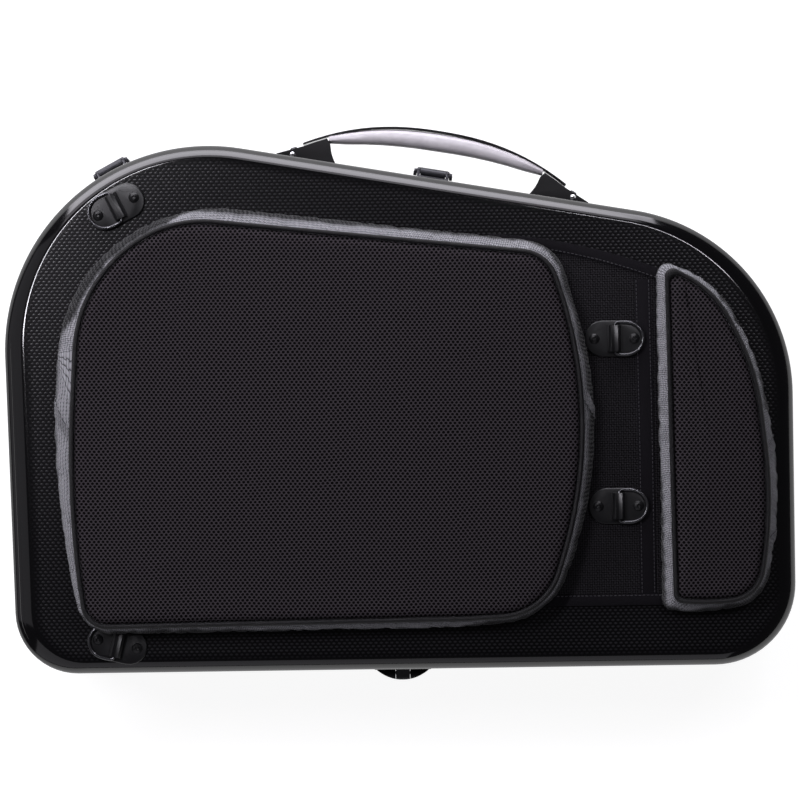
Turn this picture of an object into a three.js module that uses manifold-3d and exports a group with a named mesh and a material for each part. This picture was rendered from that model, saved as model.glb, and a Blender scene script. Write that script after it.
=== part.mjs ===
import * as THREE from 'three';
import { mergeVertices } from 'three/addons/utils/BufferGeometryUtils.js';
import Module from 'manifold-3d';

const wasm = await Module();
wasm.setup();

// French horn case for an instrument whose bell comes off. It lies on its flat front half with the
// padded back half up. Lengths are in millimetres, angles in degrees.
//
// Plan view: X runs along the case, Y from the hinge edge (0) to the handle edge, Z up.

// Fits
const touchGap = 0.3;
const runningGap = 0.5;
const cutOverrun = 5;
const chordSag = 0.35;
const smallSag = 0.12;

// Case outline, measured where the walls meet the rounded edge of a face
const rightReach = 315;
const leftFootReach = 308;
const leftTopReach = 320;
const rightCornerHeight = 343;
const leftCornerHeight = 452;
const footLeftRadius = 50;
const footRightRadius = 65;
const shoulderRightRadius = 150;
const shoulderLeftRadius = 163;

// Shell halves
const frontDepth = 97;
const backDepth = 100;
const shellWall = 3;
const edgeRadius = 10;
const faceMarginLeft = 17;
const faceMarginRight = 13;
const faceMarginFoot = 10;
const faceMarginTopLeft = 14;
const faceMarginTopRight = 9;
const faceRadiusStep = 5;
const wallFlare = 3.7;
const seamHalfGap = 0.3;

// Rim profiles and seal
const rimWidth = 8;
const rimHeight = 10;
const tongueWidth = 2;
const tongueHeight = 3;
const grooveDepth = 5;
const sealHeight = 1.4;

// Liners. A place is given from the end, foot or handle edge that the piece keeps to.
const linerWallWidth = 28;
const frontFloorThickness = 14;
const backFloorThickness = 10;
const bellWellRadius = 158;
const bellFromLeft = 192;
const bellFromFoot = 212;
const ringWellRadius = 150;
const armWellFromRight = 143;
const armWellFoot = 66;
const armWellBelowEdge = 45.5;
const armWellPastBell = 8;
const armFootRadius = 45;
const armTopRadius = 60;
const armInnerRadius = 30;
const dividerThickness = 20;

// Blocks in the front half
const bellRingRadius = 67;
const ringSeatWall = 8;
const centreBlockHeight = 34;
const ringSeatDepth = 8;
const blockEdge = 3;
const valveRestFromArm = 80;
const valveRestFromFoot = 62;
const valveRestLength = 96;
const valveRestWidth = 62;
const valveRestHeight = 24;
const branchRestFromArm = 84;
const branchRestFromTop = 54;
const branchRestLength = 110;
const branchRestWidth = 34;
const branchRestHeight = 32;
const branchTubeRadius = 11;
const restCornerRadius = 10;
const mouthpieceBlockTop = 136;
const mouthpieceBlockHeight = 46;
const mouthpieceHoleRadius = 14;
const mouthpieceHoleDepth = 38;
const mouthpieceHoleInset = 33;
const mouthpiecePitch = 42;

// Fabric panel under the two pads
const panelThickness = 1.6;
const panelFromRight = 63;
const panelLength = 182;
const panelFoot = 49;
const panelBelowEdge = 47.8;
const panelLeftBelowEdge = 37;
const panelCornerRadius = 10;

// Main pad. A corner's row holds its place along the pad's length and across its width, and its
// radius over that width. The seat is the outline at its widest, the seam that of the top edge.
const mainPadFromLeft = 34.2;
const mainPadFromRight = 143.8;
const mainPadFoot = 33;
const mainPadBelowEdge = 70.9;
const mainPadSeatShares = [
  [0.039, 0.040, 0.070],
  [0.181, 0.000, 0.176],
  [0.720, 0.004, 1.172],
  [0.884, 0.023, 0.165],
  [1.000, 0.438, 0.960],
  [0.901, 0.893, 0.108],
  [0.221, 1.000, 0.380],
  [0.031, 0.809, 0.358],
  [0.000, 0.352, 1.757],
];
const mainPadSeamShares = [
  [0.053, 0.042, 0.059],
  [0.186, 0.013, 0.176],
  [0.737, 0.019, 1.172],
  [0.877, 0.029, 0.151],
  [0.986, 0.492, 1.035],
  [0.886, 0.875, 0.094],
  [0.221, 0.970, 0.281],
  [0.055, 0.815, 0.325],
  [0.033, 0.296, 2.315],
];
const mainPadHeight = 28;
const mainPadCrown = 34;

// Small pad
const smallPadFromRight = 109.4;
const smallPadRightMargin = 12;
const smallPadFoot = 43;
const smallPadBelowEdge = 36.2;
const smallPadSeatShares = [
  [0.016, 0.010, 0.029],
  [0.400, 0.000, 0.523],
  [0.851, 0.034, 0.108],
  [1.000, 0.343, 1.036],
  [0.838, 0.694, 0.790],
  [0.506, 0.927, 0.321],
  [0.000, 1.000, 0.033],
];
const smallPadSeamShares = [
  [0.097, 0.030, 0.028],
  [0.421, 0.024, 0.668],
  [0.805, 0.038, 0.105],
  [0.936, 0.296, 1.231],
  [0.807, 0.682, 0.635],
  [0.477, 0.907, 0.288],
  [0.057, 0.984, 0.023],
];
const smallPadHeight = 26;
const smallPadCrown = 8.5;

// Both pads, counted inwards from the outline and up from the foot
const padFootTuck = 6;
const padFootHeight = 4;
const padBulgeHeight = 9;
const padWaistShare = 0.35;
const padWaistHeight = 15;
const padEdgeDrop = 6.5;
const padLeastRadius = 6;
const crownShares = [[0.15, 0.62], [0.4, 0.82], [0.7, 0.95], [1, 1]];
const pipingRadius = 2.1;
const pipingOffset = 1.9;

// Lug plates and D-rings
const lugHalfLength = 24;
const lugHalfWidth = 14.5;
const lugThickness = 2;
const lugChamfer = 0.8;
const rivetOffset = 16;
const rivetRadius = 4.3;
const rivetHeight = 2.2;
const rivetRecessRadius = 1.7;
const rivetRecessDepth = 1.1;
const ringWireRadius = 1.5;
const ringHalfWidth = 13.1;
const ringReach = 23;
const ringCornerRadius = 3;
const bridgeHalfWidth = 5.4;
const bridgeHalfLength = 10.4;
const bridgeWall = 1.5;
const bridgeRidge = 0.8;
const lugTopLeftFromPadEnd = 56.3;
const lugTopLeftBelowEdge = 63;
const lugFootLeftFromPadEnd = 52.8;
const lugFootLeftY = 23.9;
const lugMidUpperMargin = 143;
const lugMidLowerMargin = 141.5;
const lugMidUpperY = 261.8;
const lugMidLowerY = 128.4;
const lugTopLeftAngle = 206.2;
const lugFootLeftAngle = 166.9;

// Hinge in the middle of the foot edge
const hingeKnuckleRadius = 5.6;
const hingePinRadius = 1.5;
const hingePinHalfLength = 13;
const hingeHalfWidth = 23.2;
const hingeInnerKnuckle = 5.8;
const hingeWebHeight = 9;
const hingeLeafHeight = 24;
const hingeLeafEdge = 2.2;
const hingeLeafTip = 1.2;
const hingeSeamGap = 0.4;
const hingeBowPowerShare = 0.8;

// Latches on the handle edge
const midLatchX = 29;
const shoulderLatchAngle = 118.4;
const latchHalfWidth = 16;
const latchTopHalfWidth = 12;
const latchRise = 8.3;
const latchSkin = 1.5;
const latchLegWidth = 2.6;
const latchPivotHeight = 22;
const latchPivotRise = 4.6;
const latchBarrelRadius = 1.8;
const latchRollerRadius = 3.2;
const latchKnuckleRadius = 4;
const latchNose = 10;
const latchWindow = 4.5;
const latchEarWidth = 2.5;
const latchEarRadius = 3.2;
const latchPlateThickness = 2;
const latchPlateFoot = 3;
const latchPlateTop = 27;
const keeperHalfWidth = 10;
const keeperTop = 2;
const keeperFoot = 16;
const keeperRibTop = 5;
const keeperRibFoot = 8;
const keeperRibRise = 4.4;

// Handle on the front half, centred over the middle latch
const handleStrapHalfLength = 110;
const handleToe = 20.4;
const handleApexBack = 22;
const handleFootBack = 8;
const handleBracketTip = 2.6;
const handleApexRise = 17.6;
const handleStrapRise = 42;
const handleStrapDrop = 27.1;
const handleStrapThickness = 3;
const handleStrapWidth = 22;
const handleArchPowerShare = 2.3;
const handleBracketWidth = 25;
const handleBelowSeam = 5;
const gripEndGap = 2;
const gripWidth = 29;
const gripUnderside = 25.3;
const gripEndThickness = 4.6;
const screwBeyondStrap = 7;
const screwRadius = 3.1;
const screwHeadHeight = 1.6;
const screwShankRadius = 1.6;
const screwRimShare = 0.75;
const screwSocketShare = 0.45;

const radians = THREE.MathUtils.degToRad;

// Flare of a wall at a height above the seam, and the inset of its inner side there
const wallInset = (height, depth) => -wallFlare * (1 - height / (depth - edgeRadius));
const innerInset = (height, depth) => shellWall + wallInset(height, depth);

// Materials
const finish = (color, roughness, metalness = 0) =>
  new THREE.MeshStandardMaterial({ color, roughness, metalness, flatShading: true });
const shellGloss = finish(0x0d0d0f, 0.22);
const rimPlastic = finish(0x131315, 0.45);
const sealRubber = finish(0x0b0b0b, 0.8);
const linerVelour = finish(0x24242a, 0.95);
const blockVelour = finish(0x2a2a31, 0.95);
const airmesh = finish(0x322e32, 0.9);
const pipingFabric = finish(0x141416, 0.75);
const panelWeave = finish(0x151517, 0.8);
const lugMetal = finish(0x2b2b30, 0.45, 0.6);
const ringMetal = finish(0x18181b, 0.3, 0.7);
const blackPlastic = finish(0x161616, 0.5);
const latchMetal = finish(0x2d2e31, 0.35, 0.7);
const brightSteel = finish(0xc9c9cc, 0.25, 1);
const strapLeather = finish(0x121213, 0.4);
const gripRubber = finish(0x4a4649, 0.5);

// A closed solid for cutting and joining, and back again
function toSolid(geometry) {
  const bare = new THREE.BufferGeometry();
  bare.setAttribute('position', geometry.attributes.position);
  if (geometry.index) bare.setIndex(geometry.index);
  const merged = mergeVertices(bare, 1e-4);
  const vertProperties = new Float32Array(merged.attributes.position.array);
  const triVerts = new Uint32Array(merged.index.array);
  return new wasm.Manifold(new wasm.Mesh({ numProp: 3, vertProperties, triVerts }));
}

function fromSolid(solid) {
  const data = solid.getMesh();
  const geometry = new THREE.BufferGeometry();
  geometry.setAttribute('position', new THREE.BufferAttribute(new Float32Array(data.vertProperties), 3));
  geometry.setIndex(new THREE.BufferAttribute(new Uint32Array(data.triVerts), 1));
  return geometry;
}

// The two edges that meet at a corner, by their outward normals, and the turn between them
function cornerTurn(corners, i) {
  const corner = corners[i];
  const before = corners[(i + corners.length - 1) % corners.length];
  const after = corners[(i + 1) % corners.length];
  const normalIn = new THREE.Vector2(corner[1] - before[1], before[0] - corner[0]).normalize();
  const normalOut = new THREE.Vector2(after[1] - corner[1], corner[0] - after[0]).normalize();
  const cross = normalIn.cross(normalOut);
  return { normalIn, normalOut, cross, turn: Math.atan2(cross, normalIn.dot(normalOut)) };
}

// Convex outline with its corners rounded, moved inwards by an inset. A corner is [x, y, radius].
// Its arcs have as many steps as those of the outline that it is like.
function roundedOutline(corners, inset = 0, { sag = chordSag, least = chordSag, like = corners } = {}) {
  const outline = [];
  corners.forEach((corner, i) => {
    const { normalIn, normalOut, cross, turn } = cornerTurn(corners, i);
    const point = new THREE.Vector2(corner[0], corner[1]);
    const radius = Math.max(corner[2] - inset, Math.min(corner[2], least));
    const reachIn = normalIn.dot(point) - inset - radius;
    const reachOut = normalOut.dot(point) - inset - radius;
    const centreX = (reachIn * normalOut.y - reachOut * normalIn.y) / cross;
    const centreY = (reachOut * normalIn.x - reachIn * normalOut.x) / cross;
    const start = Math.atan2(normalIn.y, normalIn.x);
    const steps = Math.max(2, Math.ceil(cornerTurn(like, i).turn / (2 * Math.acos(1 - sag / like[i][2]))));
    for (let step = 0; step <= steps; step += 1) {
      const angle = start + (turn * step) / steps;
      outline.push(new THREE.Vector2(centreX + radius * Math.cos(angle), centreY + radius * Math.sin(angle)));
    }
  });
  return outline;
}

// Skin over a row of rings. An open row is capped at both ends, and a looped one joins up.
function loft(rings, looped = false) {
  const count = rings[0].length;
  const position = rings.flatMap((ring) => ring.flatMap((point) => [point.x, point.y, point.z]));
  const index = [];
  const strips = looped ? rings.length : rings.length - 1;
  for (let r = 0; r < strips; r += 1) {
    const next = (r + 1) % rings.length;
    for (let k = 0; k < count; k += 1) {
      const a = r * count + k;
      const b = r * count + ((k + 1) % count);
      const c = next * count + k;
      const d = next * count + ((k + 1) % count);
      index.push(a, b, d, a, d, c);
    }
  }
  if (!looped) {
    const last = (rings.length - 1) * count;
    for (let k = 1; k < count - 1; k += 1) {
      index.push(0, k + 1, k);
      index.push(last, last + k, last + k + 1);
    }
  }
  let volume = 0;
  const corner = (i) => new THREE.Vector3().fromArray(position, i * 3);
  for (let t = 0; t < index.length; t += 3) {
    volume += corner(index[t]).dot(corner(index[t + 1]).cross(corner(index[t + 2])));
  }
  if (volume < 0) {
    for (let t = 0; t < index.length; t += 3) [index[t], index[t + 1]] = [index[t + 1], index[t]];
  }
  const geometry = new THREE.BufferGeometry();
  geometry.setAttribute('position', new THREE.Float32BufferAttribute(position, 3));
  geometry.setIndex(index);
  return geometry;
}

// Rings of one outline at the insets and heights of a profile
function outlineLoft(corners, profile, { looped = false, sag = chordSag, least = chordSag, towards = corners } = {}) {
  const rings = profile.map(([inset, height, share = 0]) => {
    const start = roundedOutline(corners, inset, { sag, least });
    const end = roundedOutline(towards, inset, { sag, least, like: corners });
    return start.map((point, i) => {
      const between = point.lerp(end[i], share);
      return new THREE.Vector3(between.x, between.y, height);
    });
  });
  return loft(rings, looped);
}

// Prism of a flat outline between two heights
function prism(points, low, high) {
  const geometry = new THREE.ExtrudeGeometry(new THREE.Shape(points), {
    depth: high - low,
    steps: 1,
    bevelEnabled: false,
  });
  return geometry.translate(0, 0, low);
}

// Prism along X of an outline given as [y, z] pairs
function crossPrism(points, left, right) {
  const flat = points.map(([y, z]) => new THREE.Vector2(y, z));
  const turned = new THREE.Matrix4().set(0, 0, 1, 0, 1, 0, 0, 0, 0, 1, 0, 0, 0, 0, 0, 1);
  return prism(flat, left, right).applyMatrix4(turned);
}

function block(left, right, near, far, low, high) {
  const geometry = new THREE.BoxGeometry(right - left, far - near, high - low);
  return geometry.translate((left + right) / 2, (near + far) / 2, (low + high) / 2);
}

// Rod along X through a point of the YZ plane
function rodX(radius, left, right, y, z, sides) {
  const geometry = new THREE.CylinderGeometry(radius, radius, right - left, sides);
  return geometry.rotateZ(Math.PI / 2).translate((left + right) / 2, y, z);
}

// Post along Z
function postZ(radius, x, y, low, high, sides) {
  const geometry = new THREE.CylinderGeometry(radius, radius, high - low, sides);
  return geometry.rotateX(Math.PI / 2).translate(x, y, (low + high) / 2);
}

function circle(radius, x, y, sides) {
  return Array.from({ length: sides }, (_, i) => {
    const angle = (2 * Math.PI * i) / sides;
    return new THREE.Vector2(x + radius * Math.cos(angle), y + radius * Math.sin(angle));
  });
}

function add(group, name, geometry, material) {
  const mesh = new THREE.Mesh(geometry, material);
  mesh.name = name;
  group.add(mesh);
  return mesh;
}

const caseCorners = [
  [-leftFootReach, 0, footLeftRadius],
  [rightReach, 0, footRightRadius],
  [rightReach, rightCornerHeight, shoulderRightRadius],
  [-leftTopReach, leftCornerHeight, shoulderLeftRadius],
];

// Case height, and the slope and line of the handle edge
const caseTop = Math.max(...roundedOutline(caseCorners).map((point) => point.y));
const topSlope = Math.atan2(leftCornerHeight - rightCornerHeight, rightReach + leftTopReach);
const topEdgeY = (x) => rightCornerHeight + (rightReach - x) * Math.tan(topSlope);

// Places of the wells, counted from the ends of the case
const bellCentreX = bellFromLeft - leftTopReach;
const bellCentreY = bellFromFoot;
const armWellRight = rightReach - armWellFromRight;
const armWellLeft = bellCentreX + armWellPastBell;
const armWellTop = (x) => topEdgeY(x) - armWellBelowEdge;

const frenchHornCase = new THREE.Group();
const frontHalf = new THREE.Group();
const backHalf = new THREE.Group();
frenchHornCase.position.y = -caseTop / 2;
frontHalf.position.z = frontDepth;
backHalf.position.z = frontDepth;
frenchHornCase.add(frontHalf, backHalf);

// Both halves are drawn with their seam at height 0. This turns a height into a place on Z.
const upFrom = (side) => (profile) => profile.map(([inset, height, share]) => [inset, side * height, share]);
const inFront = upFrom(-1);
const inBack = upFrom(1);

// Moulded shell half. Its wall flares, and its edge rounds over to a flat face, wider at the left.
const faceCorners = [
  [faceMarginLeft - leftFootReach, faceMarginFoot, footLeftRadius - faceMarginFoot],
  [rightReach - faceMarginRight, faceMarginFoot, footRightRadius - faceMarginRight],
  [rightReach - faceMarginRight, rightCornerHeight - faceMarginTopRight, shoulderRightRadius - faceRadiusStep],
  [faceMarginLeft - leftTopReach, leftCornerHeight - faceMarginTopLeft, shoulderLeftRadius - faceMarginLeft],
];
function shellHalf(depth, side) {
  const quarter = [0, 1, 2, 3, 4].map((step) => (Math.PI / 2) * (step / 4));
  const shoulder = depth - edgeRadius;
  const innerRadius = edgeRadius - shellWall;
  const profile = [
    ...quarter.toReversed().map((a) => [0, shoulder + edgeRadius * Math.sin(a), 1 - Math.cos(a)]),
    [wallInset(seamHalfGap, depth), seamHalfGap],
    [innerInset(seamHalfGap, depth), seamHalfGap],
    ...quarter.map((a) => [edgeRadius - innerRadius * Math.cos(a), shoulder + innerRadius * Math.sin(a)]),
  ];
  return outlineLoft(caseCorners, upFrom(side)(profile), { towards: faceCorners });
}
add(frontHalf, 'front_shell', shellHalf(frontDepth, -1), shellGloss);
add(backHalf, 'back_shell', shellHalf(backDepth, 1), shellGloss);

// Rim profiles: a ring glued inside each shell edge, with a tongue in front and a groove behind
const tongueInset = -wallFlare + shellWall + rimWidth / 2;
function frontRim() {
  const profile = [
    [innerInset(seamHalfGap, frontDepth) + touchGap, seamHalfGap],
    [innerInset(rimHeight, frontDepth) + touchGap, rimHeight],
    [innerInset(rimHeight, frontDepth) + rimWidth, rimHeight],
    [innerInset(seamHalfGap, frontDepth) + rimWidth, seamHalfGap],
    [tongueInset + tongueWidth / 2, seamHalfGap],
    [tongueInset + tongueWidth / 2, -tongueHeight],
    [tongueInset - tongueWidth / 2, -tongueHeight],
    [tongueInset - tongueWidth / 2, seamHalfGap],
  ];
  return outlineLoft(caseCorners, inFront(profile), { looped: true });
}
add(frontHalf, 'front_rim', frontRim(), rimPlastic);

function backRim() {
  const grooveHalf = tongueWidth / 2 + runningGap;
  const profile = [
    [innerInset(seamHalfGap, backDepth) + touchGap, seamHalfGap],
    [tongueInset - grooveHalf, seamHalfGap],
    [tongueInset - grooveHalf, grooveDepth],
    [tongueInset + grooveHalf, grooveDepth],
    [tongueInset + grooveHalf, seamHalfGap],
    [innerInset(seamHalfGap, backDepth) + rimWidth, seamHalfGap],
    [innerInset(rimHeight, backDepth) + rimWidth, rimHeight],
    [innerInset(rimHeight, backDepth) + touchGap, rimHeight],
  ];
  return outlineLoft(caseCorners, inBack(profile), { looped: true });
}
add(backHalf, 'back_rim', backRim(), rimPlastic);

// Rubber seal at the bottom of the groove
function rimSeal() {
  const high = grooveDepth - touchGap;
  const low = high - sealHeight;
  const half = tongueWidth / 2 + touchGap / 2;
  const profile = [
    [tongueInset - half, low],
    [tongueInset + half, low],
    [tongueInset + half, high],
    [tongueInset - half, high],
  ];
  return outlineLoft(caseCorners, inBack(profile), { looped: true });
}
add(backHalf, 'rim_seal', rimSeal(), sealRubber);

// Foam liner block that fills a shell half up to its rim
function linerBlock(depth, side) {
  const quarter = [0, 1, 2].map((step) => (Math.PI / 2) * (step / 2));
  const shoulder = depth - edgeRadius;
  const radius = edgeRadius - shellWall - touchGap;
  const profile = [
    [innerInset(rimHeight, depth) + touchGap, rimHeight + touchGap],
    ...quarter.map((a) => [edgeRadius - radius * Math.cos(a), shoulder + radius * Math.sin(a)]),
  ];
  return toSolid(outlineLoft(caseCorners, upFrom(side)(profile)));
}
const frontFloor = -(frontDepth - shellWall - touchGap - frontFloorThickness);
const frontLinerTop = -(rimHeight + touchGap);
const backFloor = backDepth - shellWall - touchGap - backFloorThickness;

// Room inside the liner's side walls, to the right of the divider
function compartmentRoom(low, high, clearance) {
  const room = toSolid(prism(roundedOutline(caseCorners, linerWallWidth + clearance), low, high));
  const left = armWellRight + dividerThickness + clearance;
  return room.intersect(toSolid(block(left, rightReach, 0, rightCornerHeight, low, high)));
}

function frontLiner() {
  const armCorners = [
    [armWellLeft, armWellFoot, armInnerRadius],
    [armWellRight, armWellFoot, armFootRadius],
    [armWellRight, armWellTop(armWellRight), armTopRadius],
    [armWellLeft, armWellTop(armWellLeft), armInnerRadius],
  ];
  const ringWell = toSolid(prism(circle(ringWellRadius, bellCentreX, bellCentreY, 48), frontFloor, 0));
  const armWell = toSolid(prism(roundedOutline(armCorners), frontFloor, 0));
  const liner = linerBlock(frontDepth, -1)
    .subtract(ringWell.add(armWell))
    .subtract(compartmentRoom(frontFloor, 0, 0));
  return fromSolid(liner);
}
add(frontHalf, 'front_liner', frontLiner(), linerVelour);

function backLiner() {
  const bellWell = toSolid(prism(circle(bellWellRadius, bellCentreX, bellCentreY, 56), 0, backFloor));
  return fromSolid(linerBlock(backDepth, 1).subtract(bellWell));
}
add(backHalf, 'back_liner', backLiner(), linerVelour);

// Round block under the bell's ring, with the seat for that ring in its top
function centreBlock() {
  const outer = bellRingRadius + ringSeatWall;
  const section = [
    [0, 0],
    [outer, 0],
    [outer, centreBlockHeight - blockEdge],
    [outer - blockEdge, centreBlockHeight],
    [bellRingRadius, centreBlockHeight],
    [bellRingRadius, centreBlockHeight - ringSeatDepth],
    [0, centreBlockHeight - ringSeatDepth],
  ].map(([radius, height]) => new THREE.Vector2(radius, height));
  return new THREE.LatheGeometry(section, 40)
    .rotateX(Math.PI / 2)
    .translate(bellCentreX, bellCentreY, frontFloor + touchGap);
}
add(frontHalf, 'bell_ring_block', centreBlock(), blockVelour);

// Foam rest with rounded corners and a bevelled top
function foamRest(x, y, length, width, height) {
  const corners = [
    [x - length / 2, y - width / 2, restCornerRadius],
    [x + length / 2, y - width / 2, restCornerRadius],
    [x + length / 2, y + width / 2, restCornerRadius],
    [x - length / 2, y + width / 2, restCornerRadius],
  ];
  const foot = frontFloor + touchGap;
  const profile = [
    [0, foot],
    [0, foot + height - blockEdge],
    [blockEdge, foot + height],
  ];
  return outlineLoft(corners, profile);
}
add(
  frontHalf,
  'valve_rest',
  foamRest(
    armWellRight - valveRestFromArm,
    armWellFoot + valveRestFromFoot,
    valveRestLength,
    valveRestWidth,
    valveRestHeight,
  ),
  blockVelour,
);

// Rest for the bell branch: a tube lies across it in a round notch
function branchRest() {
  const x = armWellRight - branchRestFromArm;
  const y = armWellTop(armWellRight) - branchRestFromTop;
  const rest = toSolid(foamRest(x, y, branchRestLength, branchRestWidth, branchRestHeight));
  const top = frontFloor + touchGap + branchRestHeight;
  const reach = branchRestWidth / 2 + cutOverrun;
  const notch = new THREE.CylinderGeometry(branchTubeRadius, branchTubeRadius, 2 * reach, 20)
    .translate(x, y, top);
  return fromSolid(rest.subtract(toSolid(notch)));
}
add(frontHalf, 'branch_rest', branchRest(), blockVelour);

// Block for two mouthpieces at the foot of the accessory compartment
function mouthpieceBlock() {
  const foot = frontFloor + touchGap;
  const top = foot + mouthpieceBlockHeight;
  const left = armWellRight + dividerThickness;
  const body = compartmentRoom(foot, top, touchGap)
    .intersect(toSolid(block(left, rightReach, 0, mouthpieceBlockTop, foot, top)));
  const middle = (left + rightReach - linerWallWidth) / 2;
  const y = mouthpieceBlockTop - mouthpieceHoleInset;
  return [-1, 1].reduce((solid, side) => {
    const x = middle + (side * mouthpiecePitch) / 2;
    const hole = postZ(mouthpieceHoleRadius, x, y, top - mouthpieceHoleDepth, top + cutOverrun, 20);
    return solid.subtract(toSolid(hole));
  }, body);
}
add(frontHalf, 'mouthpiece_block', fromSolid(mouthpieceBlock()), blockVelour);

// Fabric panel glued to the back face, under both pads
const panelRight = rightReach - panelFromRight;
const panelLeft = panelRight - panelLength;
const panelCorners = [
  [panelLeft, panelFoot, panelCornerRadius],
  [panelRight, panelFoot, panelCornerRadius],
  [panelRight, topEdgeY(panelRight) - panelBelowEdge, panelCornerRadius],
  [panelLeft, topEdgeY(panelLeft) - panelLeftBelowEdge, panelCornerRadius],
];
const faceTop = backDepth;
const panelTop = faceTop + touchGap + panelThickness;
add(
  backHalf,
  'fabric_panel',
  prism(roundedOutline(panelCorners), faceTop + touchGap, panelTop),
  panelWeave,
);

// Pads: foam cushions with drawn-in sides and a crowned airmesh top, piping round the top edge
function padCorners(left, right, foot, top, shares) {
  return shares.map(([alongShare, acrossShare, radiusShare]) => [
    left + (right - left) * alongShare,
    foot + (top - foot) * acrossShare,
    (top - foot) * radiusShare,
  ]);
}
const mainPadLeft = mainPadFromLeft - (leftFootReach + leftTopReach) / 2;
const mainPadSize = [
  mainPadLeft,
  rightReach - mainPadFromRight,
  mainPadFoot,
  topEdgeY(mainPadLeft) - mainPadBelowEdge,
];
const smallPadLeft = rightReach - smallPadFromRight;
const smallPadSize = [
  smallPadLeft,
  rightReach - smallPadRightMargin,
  smallPadFoot,
  topEdgeY(smallPadLeft) - smallPadBelowEdge,
];
const padFoot = panelTop + touchGap;
const pads = [
  ['main', mainPadSize, mainPadSeatShares, mainPadSeamShares, mainPadHeight, mainPadCrown],
  ['small', smallPadSize, smallPadSeatShares, smallPadSeamShares, smallPadHeight, smallPadCrown],
];
for (const [place, size, seatShares, seamShares, height, crownReach] of pads) {
  const seat = padCorners(...size, seatShares);
  const seam = padCorners(...size, seamShares);
  const edge = padFoot + height - padEdgeDrop;
  const edgeInset = pipingRadius + pipingOffset;
  const cushion = [
    [padFootTuck, padFoot, 0],
    [padFootTuck / 4, padFoot + padFootHeight, 0],
    [0, padFoot + padBulgeHeight, 0],
    [0, padFoot + padWaistHeight, padWaistShare],
    [edgeInset, edge, 1],
    ...crownShares.map(([reachShare, riseShare]) => [
      edgeInset + crownReach * reachShare,
      edge + padEdgeDrop * riseShare,
      1,
    ]),
  ];
  const cushionSkin = outlineLoft(seat, cushion, { towards: seam, least: padLeastRadius });
  add(backHalf, `${place}_pad`, cushionSkin, airmesh);
  const cord = circle(pipingRadius, pipingRadius, edge + pipingOffset, 6);
  const cordSection = cord.map((point) => [point.x, point.y, 1]);
  const cordSkin = outlineLoft(seat, cordSection, { looped: true, towards: seam, least: padLeastRadius });
  add(backHalf, `${place}_pad_piping`, cordSkin, pipingFabric);
}

// Lug: riveted stadium plate with a ridged bridge that holds the straight bar of a D-ring
const barRise = lugThickness + touchGap + ringWireRadius;
function lugPlate() {
  const straight = lugHalfLength - lugHalfWidth;
  const corners = [
    [-lugHalfLength, -lugHalfWidth, lugHalfWidth - smallSag],
    [lugHalfLength, -lugHalfWidth, lugHalfWidth - smallSag],
    [lugHalfLength, lugHalfWidth, lugHalfWidth - smallSag],
    [-lugHalfLength, lugHalfWidth, lugHalfWidth - smallSag],
  ];
  const profile = [
    [0, 0],
    [0, lugThickness - lugChamfer],
    [lugChamfer, lugThickness],
  ];
  let plate = toSolid(outlineLoft(corners, profile, { sag: smallSag * (straight / lugHalfWidth + 1) }));
  const bridgeTop = barRise + ringWireRadius + touchGap + bridgeWall;
  const ridge = bridgeHalfWidth / 2;
  const bridge = [
    [-bridgeHalfWidth, lugThickness / 2],
    [bridgeHalfWidth, lugThickness / 2],
    [bridgeHalfWidth - bridgeRidge, bridgeTop - bridgeRidge],
    [ridge, bridgeTop + bridgeRidge],
    [0, bridgeTop],
    [-ridge, bridgeTop + bridgeRidge],
    [bridgeRidge - bridgeHalfWidth, bridgeTop - bridgeRidge],
  ].map(([x, z]) => new THREE.Vector2(x, z));
  const alongY = (points) => prism(points, -bridgeHalfLength, bridgeHalfLength).rotateX(Math.PI / 2);
  plate = plate.add(toSolid(alongY(bridge)));
  for (const side of [-1, 1]) {
    const dome = [0, 1, 2, 3].map((step) => {
      const angle = (Math.PI / 2) * (step / 4);
      return [rivetRadius * Math.cos(angle), rivetHeight * Math.sin(angle)];
    });
    const section = [
      [0, -lugThickness / 2],
      [rivetRadius, -lugThickness / 2],
      ...dome,
      [rivetRecessRadius, rivetHeight],
      [rivetRecessRadius * 0.6, rivetHeight - rivetRecessDepth],
      [0, rivetHeight - rivetRecessDepth],
    ].map(([radius, height]) => new THREE.Vector2(radius, height));
    const rivet = new THREE.LatheGeometry(section, 12)
      .rotateX(Math.PI / 2)
      .translate(side * rivetOffset, 0, lugThickness);
    plate = plate.add(toSolid(rivet));
  }
  const tunnel = ringWireRadius + touchGap;
  const channel = new THREE.CylinderGeometry(tunnel, tunnel, 2 * (bridgeHalfLength + cutOverrun), 12)
    .translate(0, 0, barRise);
  return fromSolid(plate.subtract(toSolid(channel)));
}

// D-ring of round wire: straight bar at X = 0, bow towards +X
function dRing() {
  const bow = ringHalfWidth;
  const corners = [
    [0, -bow, ringCornerRadius],
    [ringReach, -bow, bow - smallSag],
    [ringReach, bow, bow - smallSag],
    [0, bow, ringCornerRadius],
  ];
  const section = circle(ringWireRadius, 0, barRise, 8).map((point) => [point.x, point.y]);
  return outlineLoft(corners, section, { looped: true, sag: 2 * smallSag });
}

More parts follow.
